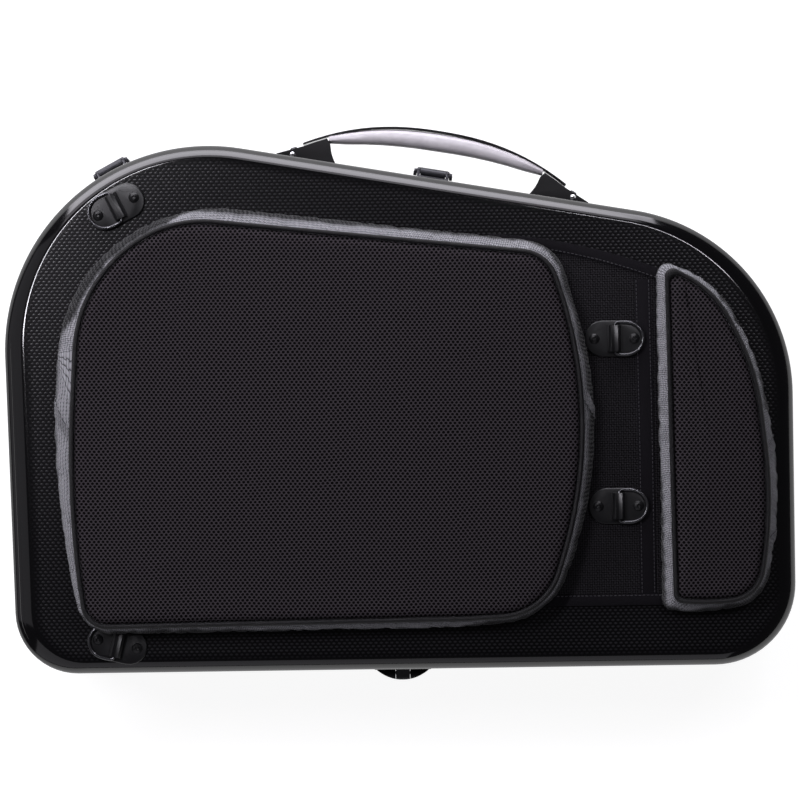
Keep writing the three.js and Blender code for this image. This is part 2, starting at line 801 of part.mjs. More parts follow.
const lugTopLeftX = mainPadLeft + lugTopLeftFromPadEnd;
const lugs = [
  ['top_left', lugTopLeftX, topEdgeY(lugTopLeftX) - lugTopLeftBelowEdge, lugTopLeftAngle, faceTop],
  ['foot_left', mainPadLeft + lugFootLeftFromPadEnd, lugFootLeftY, lugFootLeftAngle, faceTop],
  ['mid_upper', rightReach - lugMidUpperMargin, lugMidUpperY, 0, panelTop],
  ['mid_lower', rightReach - lugMidLowerMargin, lugMidLowerY, 0, panelTop],
];
for (const [place, x, y, angle, seat] of lugs) {
  const lug = new THREE.Group();
  lug.position.set(x, y, seat + touchGap);
  lug.rotation.z = radians(angle);
  add(lug, `lug_plate_${place}`, lugPlate(), lugMetal);
  add(lug, `d_ring_${place}`, dRing(), ringMetal);
  backHalf.add(lug);
}

// Hinge at the middle of the foot edge. Its axis runs along X just outside the seam.
const hingeAxisY = -(wallFlare + touchGap + hingeKnuckleRadius);
const hingeRise = touchGap + 2 * hingeKnuckleRadius;
function hingeLeaf(side, depth, ownSpans, otherSpans) {
  const wall = (height) => wallInset(height, depth) - touchGap;
  const web = new THREE.Vector2(wall(hingeWebHeight) - hingeLeafEdge - hingeAxisY, hingeWebHeight);
  const tangent = web.angle() + Math.acos(hingeKnuckleRadius / web.length());
  const mirrored = (points) => {
    const placed = points.map(([y, height]) => [y, side * height]);
    return side > 0 ? placed.toReversed() : placed;
  };
  const plate = mirrored([
    [wall(hingeSeamGap), hingeSeamGap],
    [wall(hingeLeafHeight), hingeLeafHeight],
    [wall(hingeLeafHeight) - hingeLeafTip, hingeLeafHeight],
    [wall(hingeLeafHeight - hingeLeafEdge) - hingeLeafEdge, hingeLeafHeight - hingeLeafEdge],
    [wall(hingeSeamGap) - hingeLeafEdge, hingeSeamGap],
  ]);
  const knuckleWeb = mirrored([
    [wall(hingeSeamGap), hingeSeamGap],
    [wall(hingeWebHeight), hingeWebHeight],
    [web.x + hingeAxisY, web.y],
    [hingeAxisY + hingeKnuckleRadius * Math.cos(tangent), hingeKnuckleRadius * Math.sin(tangent)],
    [hingeAxisY, hingeSeamGap],
  ]);
  let leaf = toSolid(crossPrism(plate, -hingeHalfWidth, hingeHalfWidth));
  for (const [left, right] of otherSpans) {
    const clear = hingeKnuckleRadius + runningGap;
    leaf = leaf.subtract(toSolid(rodX(clear, left, right, hingeAxisY, 0, 24)));
  }
  for (const [left, right] of ownSpans) {
    leaf = leaf.add(toSolid(rodX(hingeKnuckleRadius, left, right, hingeAxisY, 0, 24)));
    leaf = leaf.add(toSolid(crossPrism(knuckleWeb, left, right)));
  }
  const bore = hingePinRadius + touchGap;
  const boreReach = hingePinHalfLength + touchGap;
  leaf = leaf.subtract(toSolid(rodX(bore, -boreReach, boreReach, hingeAxisY, 0, 16)));
  const bow = Array.from({ length: 17 }, (_, i) => {
    const share = i / 8 - 1;
    const rise = hingeLeafTip + (hingeRise - hingeLeafTip) * Math.cos((Math.PI / 2) * share) ** hingeBowPowerShare;
    return new THREE.Vector2(hingeHalfWidth * share, -wallFlare - rise);
  });
  const inside = [new THREE.Vector2(hingeHalfWidth, cutOverrun), new THREE.Vector2(-hingeHalfWidth, cutOverrun)];
  const dome = prism([...bow, ...inside], -hingeLeafHeight - cutOverrun, hingeLeafHeight + cutOverrun);
  return fromSolid(leaf.intersect(toSolid(dome)));
}
const knuckleGap = runningGap / 2;
const midSpan = [[-hingeInnerKnuckle, hingeInnerKnuckle]];
const sideSpans = [
  [-hingeHalfWidth, -hingeInnerKnuckle - knuckleGap],
  [hingeInnerKnuckle + knuckleGap, hingeHalfWidth],
];
const midClear = [[-hingeInnerKnuckle - knuckleGap, hingeInnerKnuckle + knuckleGap]];
const sideClear = [
  [-hingeHalfWidth - cutOverrun, -hingeInnerKnuckle],
  [hingeInnerKnuckle, hingeHalfWidth + cutOverrun],
];
add(backHalf, 'hinge_back_leaf', hingeLeaf(1, backDepth, midSpan, sideClear), blackPlastic);
add(frontHalf, 'hinge_front_leaf', hingeLeaf(-1, frontDepth, sideSpans, midClear), blackPlastic);
add(
  frontHalf,
  'hinge_pin',
  rodX(hingePinRadius, -hingePinHalfLength, hingePinHalfLength, hingeAxisY, 0, 16),
  brightSteel,
);

// Frames on the wall of the handle edge: X along the edge, Y outwards, seam at Z = 0
function edgeFrame(parent, x, y, normalAngle) {
  const frame = new THREE.Group();
  frame.position.set(x, y, 0);
  frame.rotation.z = normalAngle - Math.PI / 2;
  parent.add(frame);
  return frame;
}
const topNormal = Math.PI / 2 - topSlope;
const shoulderReach = shoulderLeftRadius + wallFlare;
const shoulderCentre = (() => {
  const leftLean = Math.atan2(leftTopReach - leftFootReach, leftCornerHeight);
  const alongTop = topEdgeY(0) * Math.cos(topSlope) - shoulderLeftRadius;
  const alongLeft = leftFootReach * Math.cos(leftLean) - shoulderLeftRadius;
  const normalTop = new THREE.Vector2(Math.sin(topSlope), Math.cos(topSlope));
  const normalLeft = new THREE.Vector2(-Math.cos(leftLean), -Math.sin(leftLean));
  const cross = normalTop.cross(normalLeft);
  return new THREE.Vector2(
    (alongTop * normalLeft.y - alongLeft * normalTop.y) / cross,
    (alongLeft * normalTop.x - alongTop * normalLeft.x) / cross,
  );
})();
const seamPointOnTop = (x) => [
  x + wallFlare * Math.sin(topSlope),
  topEdgeY(x) + wallFlare * Math.cos(topSlope),
];

// Latch: a lever of U section on a barrel between two ears, over a keeper on the other half
function latchBase() {
  const wall = (height) => -wallInset(height, backDepth) - wallFlare + touchGap;
  const plate = [
    [wall(latchPlateFoot), latchPlateFoot],
    [wall(latchPlateFoot) + latchPlateThickness, latchPlateFoot],
    [wall(latchPlateTop) + latchPlateThickness, latchPlateTop],
    [wall(latchPlateTop), latchPlateTop],
  ];
  const outside = latchHalfWidth - latchLegWidth - touchGap;
  let base = toSolid(crossPrism(plate, -outside, outside));
  for (const side of [-1, 1]) {
    const left = side > 0 ? outside - latchEarWidth : -outside;
    const ear = toSolid(rodX(latchEarRadius, left, left + latchEarWidth, latchPivotRise, latchPivotHeight, 16));
    const foot = [
      [wall(latchPivotHeight) + latchPlateThickness / 2, latchPivotHeight - latchEarRadius],
      [latchPivotRise, latchPivotHeight - latchEarRadius],
      [latchPivotRise, latchPivotHeight + latchEarRadius],
      [wall(latchPivotHeight) + latchPlateThickness / 2, latchPivotHeight + latchEarRadius],
    ];
    base = base.add(ear).add(toSolid(crossPrism(foot, left, left + latchEarWidth)));
  }
  const bore = rodX(latchBarrelRadius + touchGap, -outside, outside, latchPivotRise, latchPivotHeight, 16);
  return fromSolid(base.subtract(toSolid(bore)));
}

function latchLever() {
  const skinInner = latchRise - latchSkin;
  const legInner = latchHalfWidth - latchLegWidth;
  const shoulder = latchRise / 2;
  const section = [
    [-latchHalfWidth, runningGap],
    [-latchHalfWidth, shoulder],
    [-latchTopHalfWidth, latchRise],
    [latchTopHalfWidth, latchRise],
    [latchHalfWidth, shoulder],
    [latchHalfWidth, runningGap],
    [legInner, runningGap],
    [legInner, shoulder],
    [latchTopHalfWidth - latchSkin, skinInner],
    [latchSkin - latchTopHalfWidth, skinInner],
    [-legInner, shoulder],
    [-legInner, runningGap],
  ].toReversed().map(([x, y]) => new THREE.Vector2(x, y));
  const reach = latchPivotHeight + latchKnuckleRadius;
  const body = toSolid(prism(section, -latchNose, reach));
  const knuckle = Array.from({ length: 9 }, (_, i) => {
    const angle = (Math.PI * i) / 8;
    return [
      latchPivotRise + latchKnuckleRadius * Math.cos(angle),
      latchPivotHeight + latchKnuckleRadius * Math.sin(angle),
    ];
  });
  const side = [[keeperRibRise + runningGap, -latchNose], [latchRise + runningGap, -latchNose], ...knuckle];
  const outline = toSolid(crossPrism(side, -latchHalfWidth - cutOverrun, latchHalfWidth + cutOverrun));
  const window = toSolid(block(-legInner, legInner, 0, latchRise + cutOverrun,
    latchPivotHeight - latchWindow, reach + cutOverrun));
  const bore = rodX(latchBarrelRadius + touchGap, -latchHalfWidth - cutOverrun, latchHalfWidth + cutOverrun,
    latchPivotRise, latchPivotHeight, 16);
  return fromSolid(body.intersect(outline).subtract(window).subtract(toSolid(bore)));
}

function latchKeeper() {
  const wall = (height) => -wallInset(height, frontDepth) - wallFlare + touchGap;
  const plate = [
    [wall(keeperTop), -keeperTop],
    [wall(keeperFoot), -keeperFoot],
    [wall(keeperFoot) + latchPlateThickness, -keeperFoot],
    [wall(keeperRibFoot) + latchPlateThickness, -keeperRibFoot],
    [keeperRibRise, -keeperRibFoot],
    [keeperRibRise, -keeperRibTop],
    [wall(keeperRibTop) + latchPlateThickness, -keeperRibTop + (keeperRibRise - latchPlateThickness) / 2],
    [wall(keeperTop) + latchPlateThickness, -keeperTop],
  ];
  return crossPrism(plate, -keeperHalfWidth, keeperHalfWidth);
}

const shoulderPoint = [
  shoulderCentre.x + shoulderReach * Math.cos(radians(shoulderLatchAngle)),
  shoulderCentre.y + shoulderReach * Math.sin(radians(shoulderLatchAngle)),
];
const latchPlaces = [
  ['shoulder', ...shoulderPoint, radians(shoulderLatchAngle)],
  ['middle', ...seamPointOnTop(midLatchX), topNormal],
];
for (const [place, x, y, normal] of latchPlaces) {
  const onBack = edgeFrame(backHalf, x, y, normal);
  const onFront = edgeFrame(frontHalf, x, y, normal);
  const barrelEnd = latchHalfWidth - touchGap;
  const rollerEnd = latchHalfWidth - latchLegWidth - latchEarWidth - 2 * touchGap;
  const barrel = [
    [0, -barrelEnd],
    [latchBarrelRadius, -barrelEnd],
    [latchBarrelRadius, -rollerEnd],
    [latchRollerRadius, -rollerEnd],
    [latchRollerRadius, rollerEnd],
    [latchBarrelRadius, rollerEnd],
    [latchBarrelRadius, barrelEnd],
    [0, barrelEnd],
  ].map(([radius, along]) => new THREE.Vector2(radius, along));
  add(onBack, `latch_base_${place}`, latchBase(), latchMetal);
  add(onBack, `latch_lever_${place}`, latchLever(), latchMetal);
  add(
    onBack,
    `latch_barrel_${place}`,
    new THREE.LatheGeometry(barrel, 16).rotateZ(Math.PI / 2).translate(0, latchPivotRise, latchPivotHeight),
    brightSteel,
  );
  add(onFront, `latch_keeper_${place}`, latchKeeper(), latchMetal);
}

// Handle, in the frame of the handle edge with its middle over the middle latch
const handle = edgeFrame(frontHalf, ...seamPointOnTop(midLatchX), topNormal);
const handleMiddle = -(handleBelowSeam + gripWidth / 2);
const handleHalfSpan = handleStrapHalfLength + handleToe;
const handleApexSpan = handleStrapHalfLength - handleApexBack;
const handleBracketFoot = handleApexSpan - handleFootBack;
const gripHalfLength = handleApexSpan - gripEndGap;
const screwOffset = handleStrapHalfLength + screwBeyondStrap;
const archRise = (x) => handleStrapRise - handleStrapDrop * Math.abs(x / handleStrapHalfLength) ** handleArchPowerShare;

function handleStrap() {
  const steps = 24;
  const upper = Array.from({ length: steps + 1 }, (_, i) => {
    const x = handleStrapHalfLength * ((2 * i) / steps - 1);
    return new THREE.Vector2(x, archRise(x));
  });
  const lower = upper.map((point) => new THREE.Vector2(point.x, point.y - handleStrapThickness));
  const half = handleStrapWidth / 2;
  return prism([...lower, ...upper.toReversed()], handleMiddle - half, handleMiddle + half);
}
add(handle, 'handle_strap', handleStrap(), strapLeather);

// Bracket: wedge with a straight outer slope, hollowed inner edge and a seat for the strap's end
function handleBracket(side) {
  const curve = [0, 1, 2, 3, 4].map((step) => {
    const share = step / 4;
    const bulge = touchGap * Math.sin(Math.PI * share);
    const x = THREE.MathUtils.lerp(handleApexSpan, handleBracketFoot, share);
    const y = THREE.MathUtils.lerp(handleApexRise, touchGap, share);
    return new THREE.Vector2(side * (x + 4 * bulge), y);
  });
  const seatReach = handleStrapHalfLength;
  const strapSeat = (x) => archRise(x) - handleStrapThickness - touchGap;
  const outline = [
    new THREE.Vector2(side * handleHalfSpan, touchGap),
    new THREE.Vector2(side * handleHalfSpan, handleBracketTip),
    new THREE.Vector2(side * seatReach, strapSeat(seatReach)),
    new THREE.Vector2(side * (handleApexSpan + seatReach) / 2, strapSeat((handleApexSpan + seatReach) / 2)),
    new THREE.Vector2(side * (handleApexSpan + blockEdge), strapSeat(handleApexSpan + blockEdge)),
    ...curve,
  ];
  const half = handleBracketWidth / 2;
  return prism(side > 0 ? outline : outline.toReversed(), handleMiddle - half, handleMiddle + half);
}

// Grip: rounded bar under the strap, thick in the middle and thin at its ends
function handleGrip() {
  const stations = Array.from({ length: 13 }, (_, i) => i / 6 - 1);
  const half = gripWidth / 2;
  const rings = stations.map((share) => {
    const x = gripHalfLength * share;
    const top = archRise(x) - handleStrapThickness - touchGap;
    const full = handleStrapRise - handleStrapThickness - touchGap - gripUnderside;
    const thickness = THREE.MathUtils.lerp(gripEndThickness, full, Math.cos((Math.PI / 2) * share) ** 0.6);
    const width = half * (0.82 + 0.18 * Math.cos((Math.PI / 2) * share));
    return Array.from({ length: 14 }, (_, k) => {
      const angle = (2 * Math.PI * (k + 0.5)) / 14;
      const roundY = Math.sign(Math.sin(angle)) * Math.abs(Math.sin(angle)) ** 0.7;
      const roundZ = Math.sign(Math.cos(angle)) * Math.abs(Math.cos(angle)) ** 0.8;
      const y = top - thickness / 2 + (thickness / 2) * roundY;
      return new THREE.Vector3(x, y, handleMiddle + width * roundZ);
    });
  });
  return loft(rings);
}
add(handle, 'handle_grip', handleGrip(), gripRubber);

// Screw through each bracket's foot. Its head stands on the outer slope.
for (const [place, side] of [['left', -1], ['right', 1]]) {
  const slope = Math.atan2(
    archRise(handleStrapHalfLength) - handleStrapThickness - touchGap - handleBracketTip,
    handleHalfSpan - handleStrapHalfLength,
  );
  const seatRise = handleBracketTip + (handleHalfSpan - screwOffset) * Math.tan(slope);
  const onSlope = (geometry, lift) => geometry
    .translate(0, lift, 0)
    .rotateZ(-side * slope)
    .translate(side * screwOffset, seatRise, handleMiddle);
  const section = [
    [0, -seatRise / 2],
    [screwShankRadius, -seatRise / 2],
    [screwShankRadius, 0],
    [screwRadius, 0],
    [screwRadius, screwHeadHeight / 2],
    [screwRadius * screwRimShare, screwHeadHeight],
    [screwRadius * screwSocketShare, screwHeadHeight],
    [screwRadius * screwSocketShare, screwHeadHeight / 2],
    [0, screwHeadHeight / 2],
  ].map(([radius, height]) => new THREE.Vector2(radius, height));
  const bore = screwShankRadius + touchGap;
  const hole = onSlope(new THREE.CylinderGeometry(bore, bore, 4 * seatRise, 12), 0);
  const bracket = toSolid(handleBracket(side)).subtract(toSolid(hole));
  add(handle, `handle_bracket_${place}`, fromSolid(bracket), blackPlastic);
  add(handle, `handle_screw_${place}`, onSlope(new THREE.LatheGeometry(section, 12), touchGap), brightSteel);
}

export default frenchHornCase;
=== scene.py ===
import math

import bmesh
import bpy
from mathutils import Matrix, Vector, noise


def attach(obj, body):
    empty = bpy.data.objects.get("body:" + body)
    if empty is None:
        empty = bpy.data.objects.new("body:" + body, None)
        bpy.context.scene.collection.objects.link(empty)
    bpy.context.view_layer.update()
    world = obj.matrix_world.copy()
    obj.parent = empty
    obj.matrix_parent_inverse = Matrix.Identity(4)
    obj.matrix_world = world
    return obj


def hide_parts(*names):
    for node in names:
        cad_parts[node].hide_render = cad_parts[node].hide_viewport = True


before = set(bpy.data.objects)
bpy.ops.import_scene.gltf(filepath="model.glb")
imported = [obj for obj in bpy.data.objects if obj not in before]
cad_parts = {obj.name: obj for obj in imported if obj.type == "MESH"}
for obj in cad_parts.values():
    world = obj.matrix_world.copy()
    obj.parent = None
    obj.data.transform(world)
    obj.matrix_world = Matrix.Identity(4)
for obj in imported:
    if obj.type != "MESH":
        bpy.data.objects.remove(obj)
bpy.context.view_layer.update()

# Moulded shell halves: two trays of glossy black ABS, 3 mm thick, with a rounded face edge and
# walls that flare towards the seam. The edge rounds over to a flat face, wider at the left. The
# face carries a fine emboss of lying ovals, which fades out where the edge starts to turn.
HINGE_EDGE_Y = -0.2102927
CASE_CORNERS = [
    (-0.308, 0.0, 0.050),
    (0.315, 0.0, 0.065),
    (0.315, 0.343, 0.150),
    (-0.320, 0.452, 0.163),
]
FACE_CORNERS = [
    (-0.291, 0.010, 0.040),
    (0.302, 0.010, 0.052),
    (0.302, 0.334, 0.145),
    (-0.303, 0.438, 0.146),
]
SEAM_Z = 0.097
SHELL_WALL = 0.003
EDGE_RADIUS = 0.010
WALL_FLARE = 0.0037


def corner_arcs(corners, inset, least=0.0004):
    arcs = []
    for i, (x, y, radius) in enumerate(corners):
        bx, by, _ = corners[i - 1]
        ax, ay, _ = corners[(i + 1) % len(corners)]
        n1 = Vector((y - by, bx - x)).normalized()
        n2 = Vector((ay - y, x - ax)).normalized()
        r = max(radius - inset, min(radius, least))
        d1 = n1.dot(Vector((x, y))) - inset - r
        d2 = n2.dot(Vector((x, y))) - inset - r
        cross = n1.x * n2.y - n1.y * n2.x
        centre = Vector(((d1 * n2.y - d2 * n1.y) / cross, (d2 * n1.x - d1 * n2.x) / cross))
        start = math.atan2(n1.y, n1.x)
        turn = math.atan2(cross, n1.dot(n2))
        arcs.append((centre, r, start, turn))
    return arcs


def rounded_outline(corners, inset=0.0, spacing=0.006, like=None, least=0.0004):
    base = corner_arcs(like or corners, 0.0)
    arcs = corner_arcs(corners, inset, least)
    points = []
    for i, (centre, r, start, turn) in enumerate(arcs):
        steps = max(4, math.ceil(base[i][1] * base[i][3] / spacing))
        for k in range(steps + 1):
            a = start + turn * k / steps
            points.append(Vector((centre.x + r * math.cos(a), centre.y + r * math.sin(a))))
        nxt = (i + 1) % len(arcs)
        ends = [
            arc[nxt][0] + arc[nxt][1] * Vector((math.cos(arc[nxt][2]), math.sin(arc[nxt][2])))
            - arc[i][0] - arc[i][1] * Vector((math.cos(arc[i][2] + arc[i][3]), math.sin(arc[i][2] + arc[i][3])))
            for arc in (base, arcs)
        ]
        pieces = max(1, math.ceil(ends[0].length / spacing))
        last = points[-1].copy()
        for k in range(1, pieces):
            points.append(last + ends[1] * (k / pieces))
    return points


def new_object(name, data):
    made = bpy.data.objects.new(name, data)
    bpy.context.scene.collection.objects.link(made)
    return made


def loft_mesh(name, rings, looped=False, capped=True):
    count = len(rings[0])
    verts = [p for ring in rings for p in ring]
    faces = []
    strips = len(rings) if looped else len(rings) - 1
    for r in range(strips):
        s = (r + 1) % len(rings)
        for k in range(count):
            m = (k + 1) % count
            faces.append((r * count + k, r * count + m, s * count + m, s * count + k))
    if capped and not looped:
        faces.append(tuple(range(count - 1, -1, -1)))
        faces.append(tuple(range((len(rings) - 1) * count, len(rings) * count)))
    mesh = bpy.data.meshes.new(name)
    mesh.from_pydata([tuple(v) for v in verts], [], faces)
    run = [0.0]
    for k in range(count):
        run.append(run[-1] + (Vector(rings[0][(k + 1) % count]) - Vector(rings[0][k])).length)
    rise = [0.0]
    for r in range(len(rings)):
        rise.append(rise[-1] + (Vector(rings[(r + 1) % len(rings)][0]) - Vector(rings[r][0])).length)
    layer = mesh.uv_layers.new(name="UVMap")
    for face in mesh.polygons:
        index = face.index
        if index < strips * count:
            r, k = divmod(index, count)
            spots = [(run[k], rise[r]), (run[k + 1], rise[r]), (run[k + 1], rise[r + 1]), (run[k], rise[r + 1])]
        else:
            spots = [tuple(mesh.vertices[v].co[:2]) for v in face.vertices]
        for loop, spot in zip(face.loop_indices, spots):
            layer.data[loop].uv = spot
    mesh.validate()
    piece = new_object(name, mesh)
    bm = bmesh.new()
    bm.from_mesh(mesh)
    bmesh.ops.recalc_face_normals(bm, faces=bm.faces)
    bm.to_mesh(mesh)
    bm.free()
    return piece


def blended_ring(start, end, inset, z, share, spacing=0.006, least=0.0004):
    first = rounded_outline(start, inset, spacing, None, least)
    second = rounded_outline(end, inset, spacing, start, least)
    mixed = [a.lerp(b, share) for a, b in zip(first, second)]
    return [Vector((p.x, p.y + HINGE_EDGE_Y, z)) for p in mixed]


def shade_smooth(piece, angle=35):
    for face in piece.data.polygons:
        face.use_smooth = True
    mod = piece.modifiers.new("Hard edges", "EDGE_SPLIT")
    mod.split_angle = math.radians(angle)
    return piece


def new_material(name):
    material = bpy.data.materials.new(name)
    material.use_nodes = True
    tree = material.node_tree
    return material, tree, tree.nodes["Principled BSDF"]


def dress(piece, material):
    piece.data.materials.clear()
    piece.data.materials.append(material)
    return piece


def plug(tree, target, value):
    if hasattr(value, "is_output"):
        tree.links.new(value, target)
    else:
        target.default_value = value


def math_node(tree, operation, a, b=0.0, c=0.0):
    node = tree.nodes.new("ShaderNodeMath")
    node.operation = operation
    for socket, value in zip(node.inputs, (a, b, c)):
        plug(tree, socket, value)
    return node.outputs[0]


def new_group(name, inputs, outputs):
    group = bpy.data.node_groups.new(name, "ShaderNodeTree")
    for label, kind, value in inputs:
        socket = group.interface.new_socket(name=label, in_out="INPUT", socket_type=kind)
        if value is not None:
            socket.default_value = value
    for label, kind in outputs:
        group.interface.new_socket(name=label, in_out="OUTPUT", socket_type=kind)
    return group, group.nodes.new("NodeGroupInput"), group.nodes.new("NodeGroupOutput")


def place_group(tree, group, **values):
    node = tree.nodes.new("ShaderNodeGroup")
    node.node_tree = group
    for label, value in values.items():
        plug(tree, node.inputs[label.replace("_", " ")], value)
    return node


def object_place(tree):
    return tree.nodes.new("ShaderNodeTexCoord").outputs["Object"]


def uv_place(tree):
    return tree.nodes.new("ShaderNodeTexCoord").outputs["UV"]


def noise_mask(tree, scale, detail=2.0):
    node = tree.nodes.new("ShaderNodeTexNoise")
    node.inputs["Scale"].default_value = scale
    node.inputs["Detail"].default_value = detail
    tree.links.new(object_place(tree), node.inputs["Vector"])
    return node.outputs["Fac"]


def two_tone(tree, mask, low, high):
    node = tree.nodes.new("ShaderNodeMix")
    node.data_type = "RGBA"
    node.inputs["A"].default_value = (*low, 1)
    node.inputs["B"].default_value = (*high, 1)
    tree.links.new(mask, node.inputs["Factor"])
    return node.outputs["Result"]


def bump(tree, height, distance):
    node = tree.nodes.new("ShaderNodeBump")
    node.inputs["Distance"].default_value = distance
    node.inputs["Strength"].default_value = 1.0
    tree.links.new(height, node.inputs["Height"])
    return node.outputs["Normal"]


def rough_between(tree, skin, mask, spread, least):
    tree.links.new(math_node(tree, "MULTIPLY_ADD", mask, spread, least), skin.inputs["Roughness"])


# Rows of ovals, each row set off by half a cell. Height is 1 on an oval's top and 0 between.
stagger, stagger_in, stagger_out = new_group(
    "Staggered ovals",
    [
        ("Place", "NodeSocketVector", None),
        ("Cell Length", "NodeSocketFloat", 0.004),
        ("Cell Width", "NodeSocketFloat", 0.003),
        ("Oval Length", "NodeSocketFloat", 0.002),
        ("Oval Width", "NodeSocketFloat", 0.002),
        ("Softness", "NodeSocketFloat", 0.2),
    ],
    [("Height", "NodeSocketFloat")],
)
split = stagger.nodes.new("ShaderNodeSeparateXYZ")
stagger.links.new(stagger_in.outputs["Place"], split.inputs[0])
row = math_node(stagger, "DIVIDE", split.outputs["Y"], stagger_in.outputs["Cell Width"])
odd = math_node(stagger, "FLOORED_MODULO", math_node(stagger, "FLOOR", row), 2.0)
along = math_node(stagger, "DIVIDE", split.outputs["X"], stagger_in.outputs["Cell Length"])
along = math_node(stagger, "MULTIPLY_ADD", odd, 0.5, along)
dx = math_node(stagger, "SUBTRACT", math_node(stagger, "FRACT", along), 0.5)
dx = math_node(stagger, "MULTIPLY", dx, math_node(
    stagger, "DIVIDE", stagger_in.outputs["Cell Length"], stagger_in.outputs["Oval Length"]))
dy = math_node(stagger, "SUBTRACT", math_node(stagger, "FRACT", row), 0.5)
dy = math_node(stagger, "MULTIPLY", dy, math_node(
    stagger, "DIVIDE", stagger_in.outputs["Cell Width"], stagger_in.outputs["Oval Width"]))
square = math_node(stagger, "MULTIPLY_ADD", dx, dx, math_node(stagger, "MULTIPLY", dy, dy))
reach = math_node(stagger, "SQRT", square)
inner = math_node(stagger, "SUBTRACT", 0.5, stagger_in.outputs["Softness"])
fall = stagger.nodes.new("ShaderNodeMapRange")
fall.interpolation_type = "SMOOTHSTEP"
stagger.links.new(reach, fall.inputs["Value"])
stagger.links.new(inner, fall.inputs["From Min"])
fall.inputs["From Max"].default_value = 0.5
fall.inputs["To Min"].default_value = 1.0
fall.inputs["To Max"].default_value = 0.0
stagger.links.new(fall.outputs["Result"], stagger_out.inputs["Height"])

shell_gloss, tree, skin = new_material("Embossed black shell")
ovals = place_group(tree, stagger, Place=object_place(tree), Cell_Length=0.0042, Cell_Width=0.0026,
                    Oval_Length=0.0036, Oval_Width=0.0022, Softness=0.34)
face_mask = tree.nodes.new("ShaderNodeAttribute")
face_mask.attribute_name = "emboss"
relief = math_node(tree, "MULTIPLY", ovals.outputs["Height"], face_mask.outputs["Fac"])
haze = math_node(tree, "MULTIPLY_ADD", noise_mask(tree, 9.0), 0.04, 0.08)
rough_between(tree, skin, face_mask.outputs["Fac"], 0.14, haze)
tree.links.new(bump(tree, relief, 0.00007), skin.inputs["Normal"])
# The oval tops are painted lighter than the ground between them: a painted highlight on each oval, over the
# real bump.
oval_highlight_tint = two_tone(tree, relief, (0.0010, 0.0009, 0.0012), (0.0120, 0.0116, 0.0132))
tree.links.new(oval_highlight_tint, skin.inputs["Base Color"])
skin.inputs["Specular IOR Level"].default_value = 0.18
skin.inputs["Coat Roughness"].default_value = 0.10
EDGE_GLOSS = 0.65
gloss = math_node(tree, "MULTIPLY_ADD", face_mask.outputs["Fac"], -EDGE_GLOSS, EDGE_GLOSS)
tree.links.new(gloss, skin.inputs["Coat Weight"])


# The edge's section from the face outwards: share of its width, share of its height gone down,
# and how much of the emboss is left. It breaks over a narrow chamfer into a bevel that grows
# steeper, and turns down into the wall at the last.
EDGE_SECTION = [
    (1.0, 0.0, 0.25), (0.96, 0.0065, 0.0), (0.92, 0.0165, 0.0), (0.88, 0.030, 0.0), (0.84, 0.047, 0.0),
    (0.80, 0.067, 0.0), (0.72, 0.115, 0.0), (0.64, 0.172, 0.0), (0.56, 0.238, 0.0), (0.48, 0.312, 0.0),
    (0.40, 0.395, 0.0), (0.32, 0.487, 0.0), (0.24, 0.588, 0.0), (0.17, 0.684, 0.0), (0.11, 0.774, 0.0),
    (0.06, 0.865, 0.0), (0.025, 0.935, 0.0), (0.006, 0.980, 0.0), (0.0, 1.0, 0.0),
]


def shell_half(name, depth, side, body, node):
    shoulder = depth - EDGE_RADIUS
    inside = EDGE_RADIUS - SHELL_WALL
    turn = [math.pi / 2 * k / 12 for k in range(13)]
    lip = 0.0006
    outer = [(0.030, depth, 1.0, 1.0), (0.006, depth, 1.0, 1.0)]
    outer += [(0.0, depth - EDGE_RADIUS * drop, share, left) for share, drop, left in EDGE_SECTION]
    outer.append((-WALL_FLARE * 0.5, shoulder * 0.5, 0.0, 0.0))
    inner = [(-WALL_FLARE, lip + 0.0003), (-WALL_FLARE + lip, 0.0003)]
    inner += [(SHELL_WALL - WALL_FLARE, 0.0003), (SHELL_WALL - WALL_FLARE * 0.5, shoulder * 0.5)]
    inner += [(EDGE_RADIUS - inside * math.cos(a), shoulder + inside * math.sin(a)) for a in turn]
    profile = outer + [(inset, z, 0.0, 0.0) for inset, z in inner]
    rings = [
        blended_ring(CASE_CORNERS, FACE_CORNERS, inset, SEAM_Z + side * z, share)
        for inset, z, share, _ in profile
    ]
    piece = loft_mesh(name, rings)
    mask = piece.data.attributes.new("emboss", "FLOAT", "POINT")
    for vertex in range(len(piece.data.vertices)):
        mask.data[vertex].value = profile[vertex // len(rings[0])][3]
    shade_smooth(piece, 50)
    dress(piece, shell_gloss)
    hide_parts(node)
    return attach(piece, body)


shell_half("front_tray", 0.097, -1, "front_half", "front_shell")
shell_half("back_tray", 0.100, 1, "back_half", "back_shell")
FACE_Z = SEAM_Z + 0.100

# Rim profiles and seal: satin black extrusions glued inside the edges, a rubber cord in the
# groove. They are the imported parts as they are, with a moulded finish.
moulded, tree, skin = new_material("Satin black moulding")
grain = noise_mask(tree, 900.0, 3.0)
tree.links.new(bump(tree, grain, 0.00008), skin.inputs["Normal"])
rough_between(tree, skin, grain, 0.12, 0.22)
skin.inputs["Base Color"].default_value = (0.004, 0.004, 0.0043, 1)
skin.inputs["Specular IOR Level"].default_value = 0.45

seal_rubber, tree, skin = new_material("Seal rubber")
rough_between(tree, skin, noise_mask(tree, 220.0), 0.2, 0.65)
skin.inputs["Base Color"].default_value = (0.010, 0.010, 0.010, 1)
for name in ("front_rim", "back_rim"):
    dress(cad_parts[name], moulded)
dress(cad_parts["rim_seal"], seal_rubber)

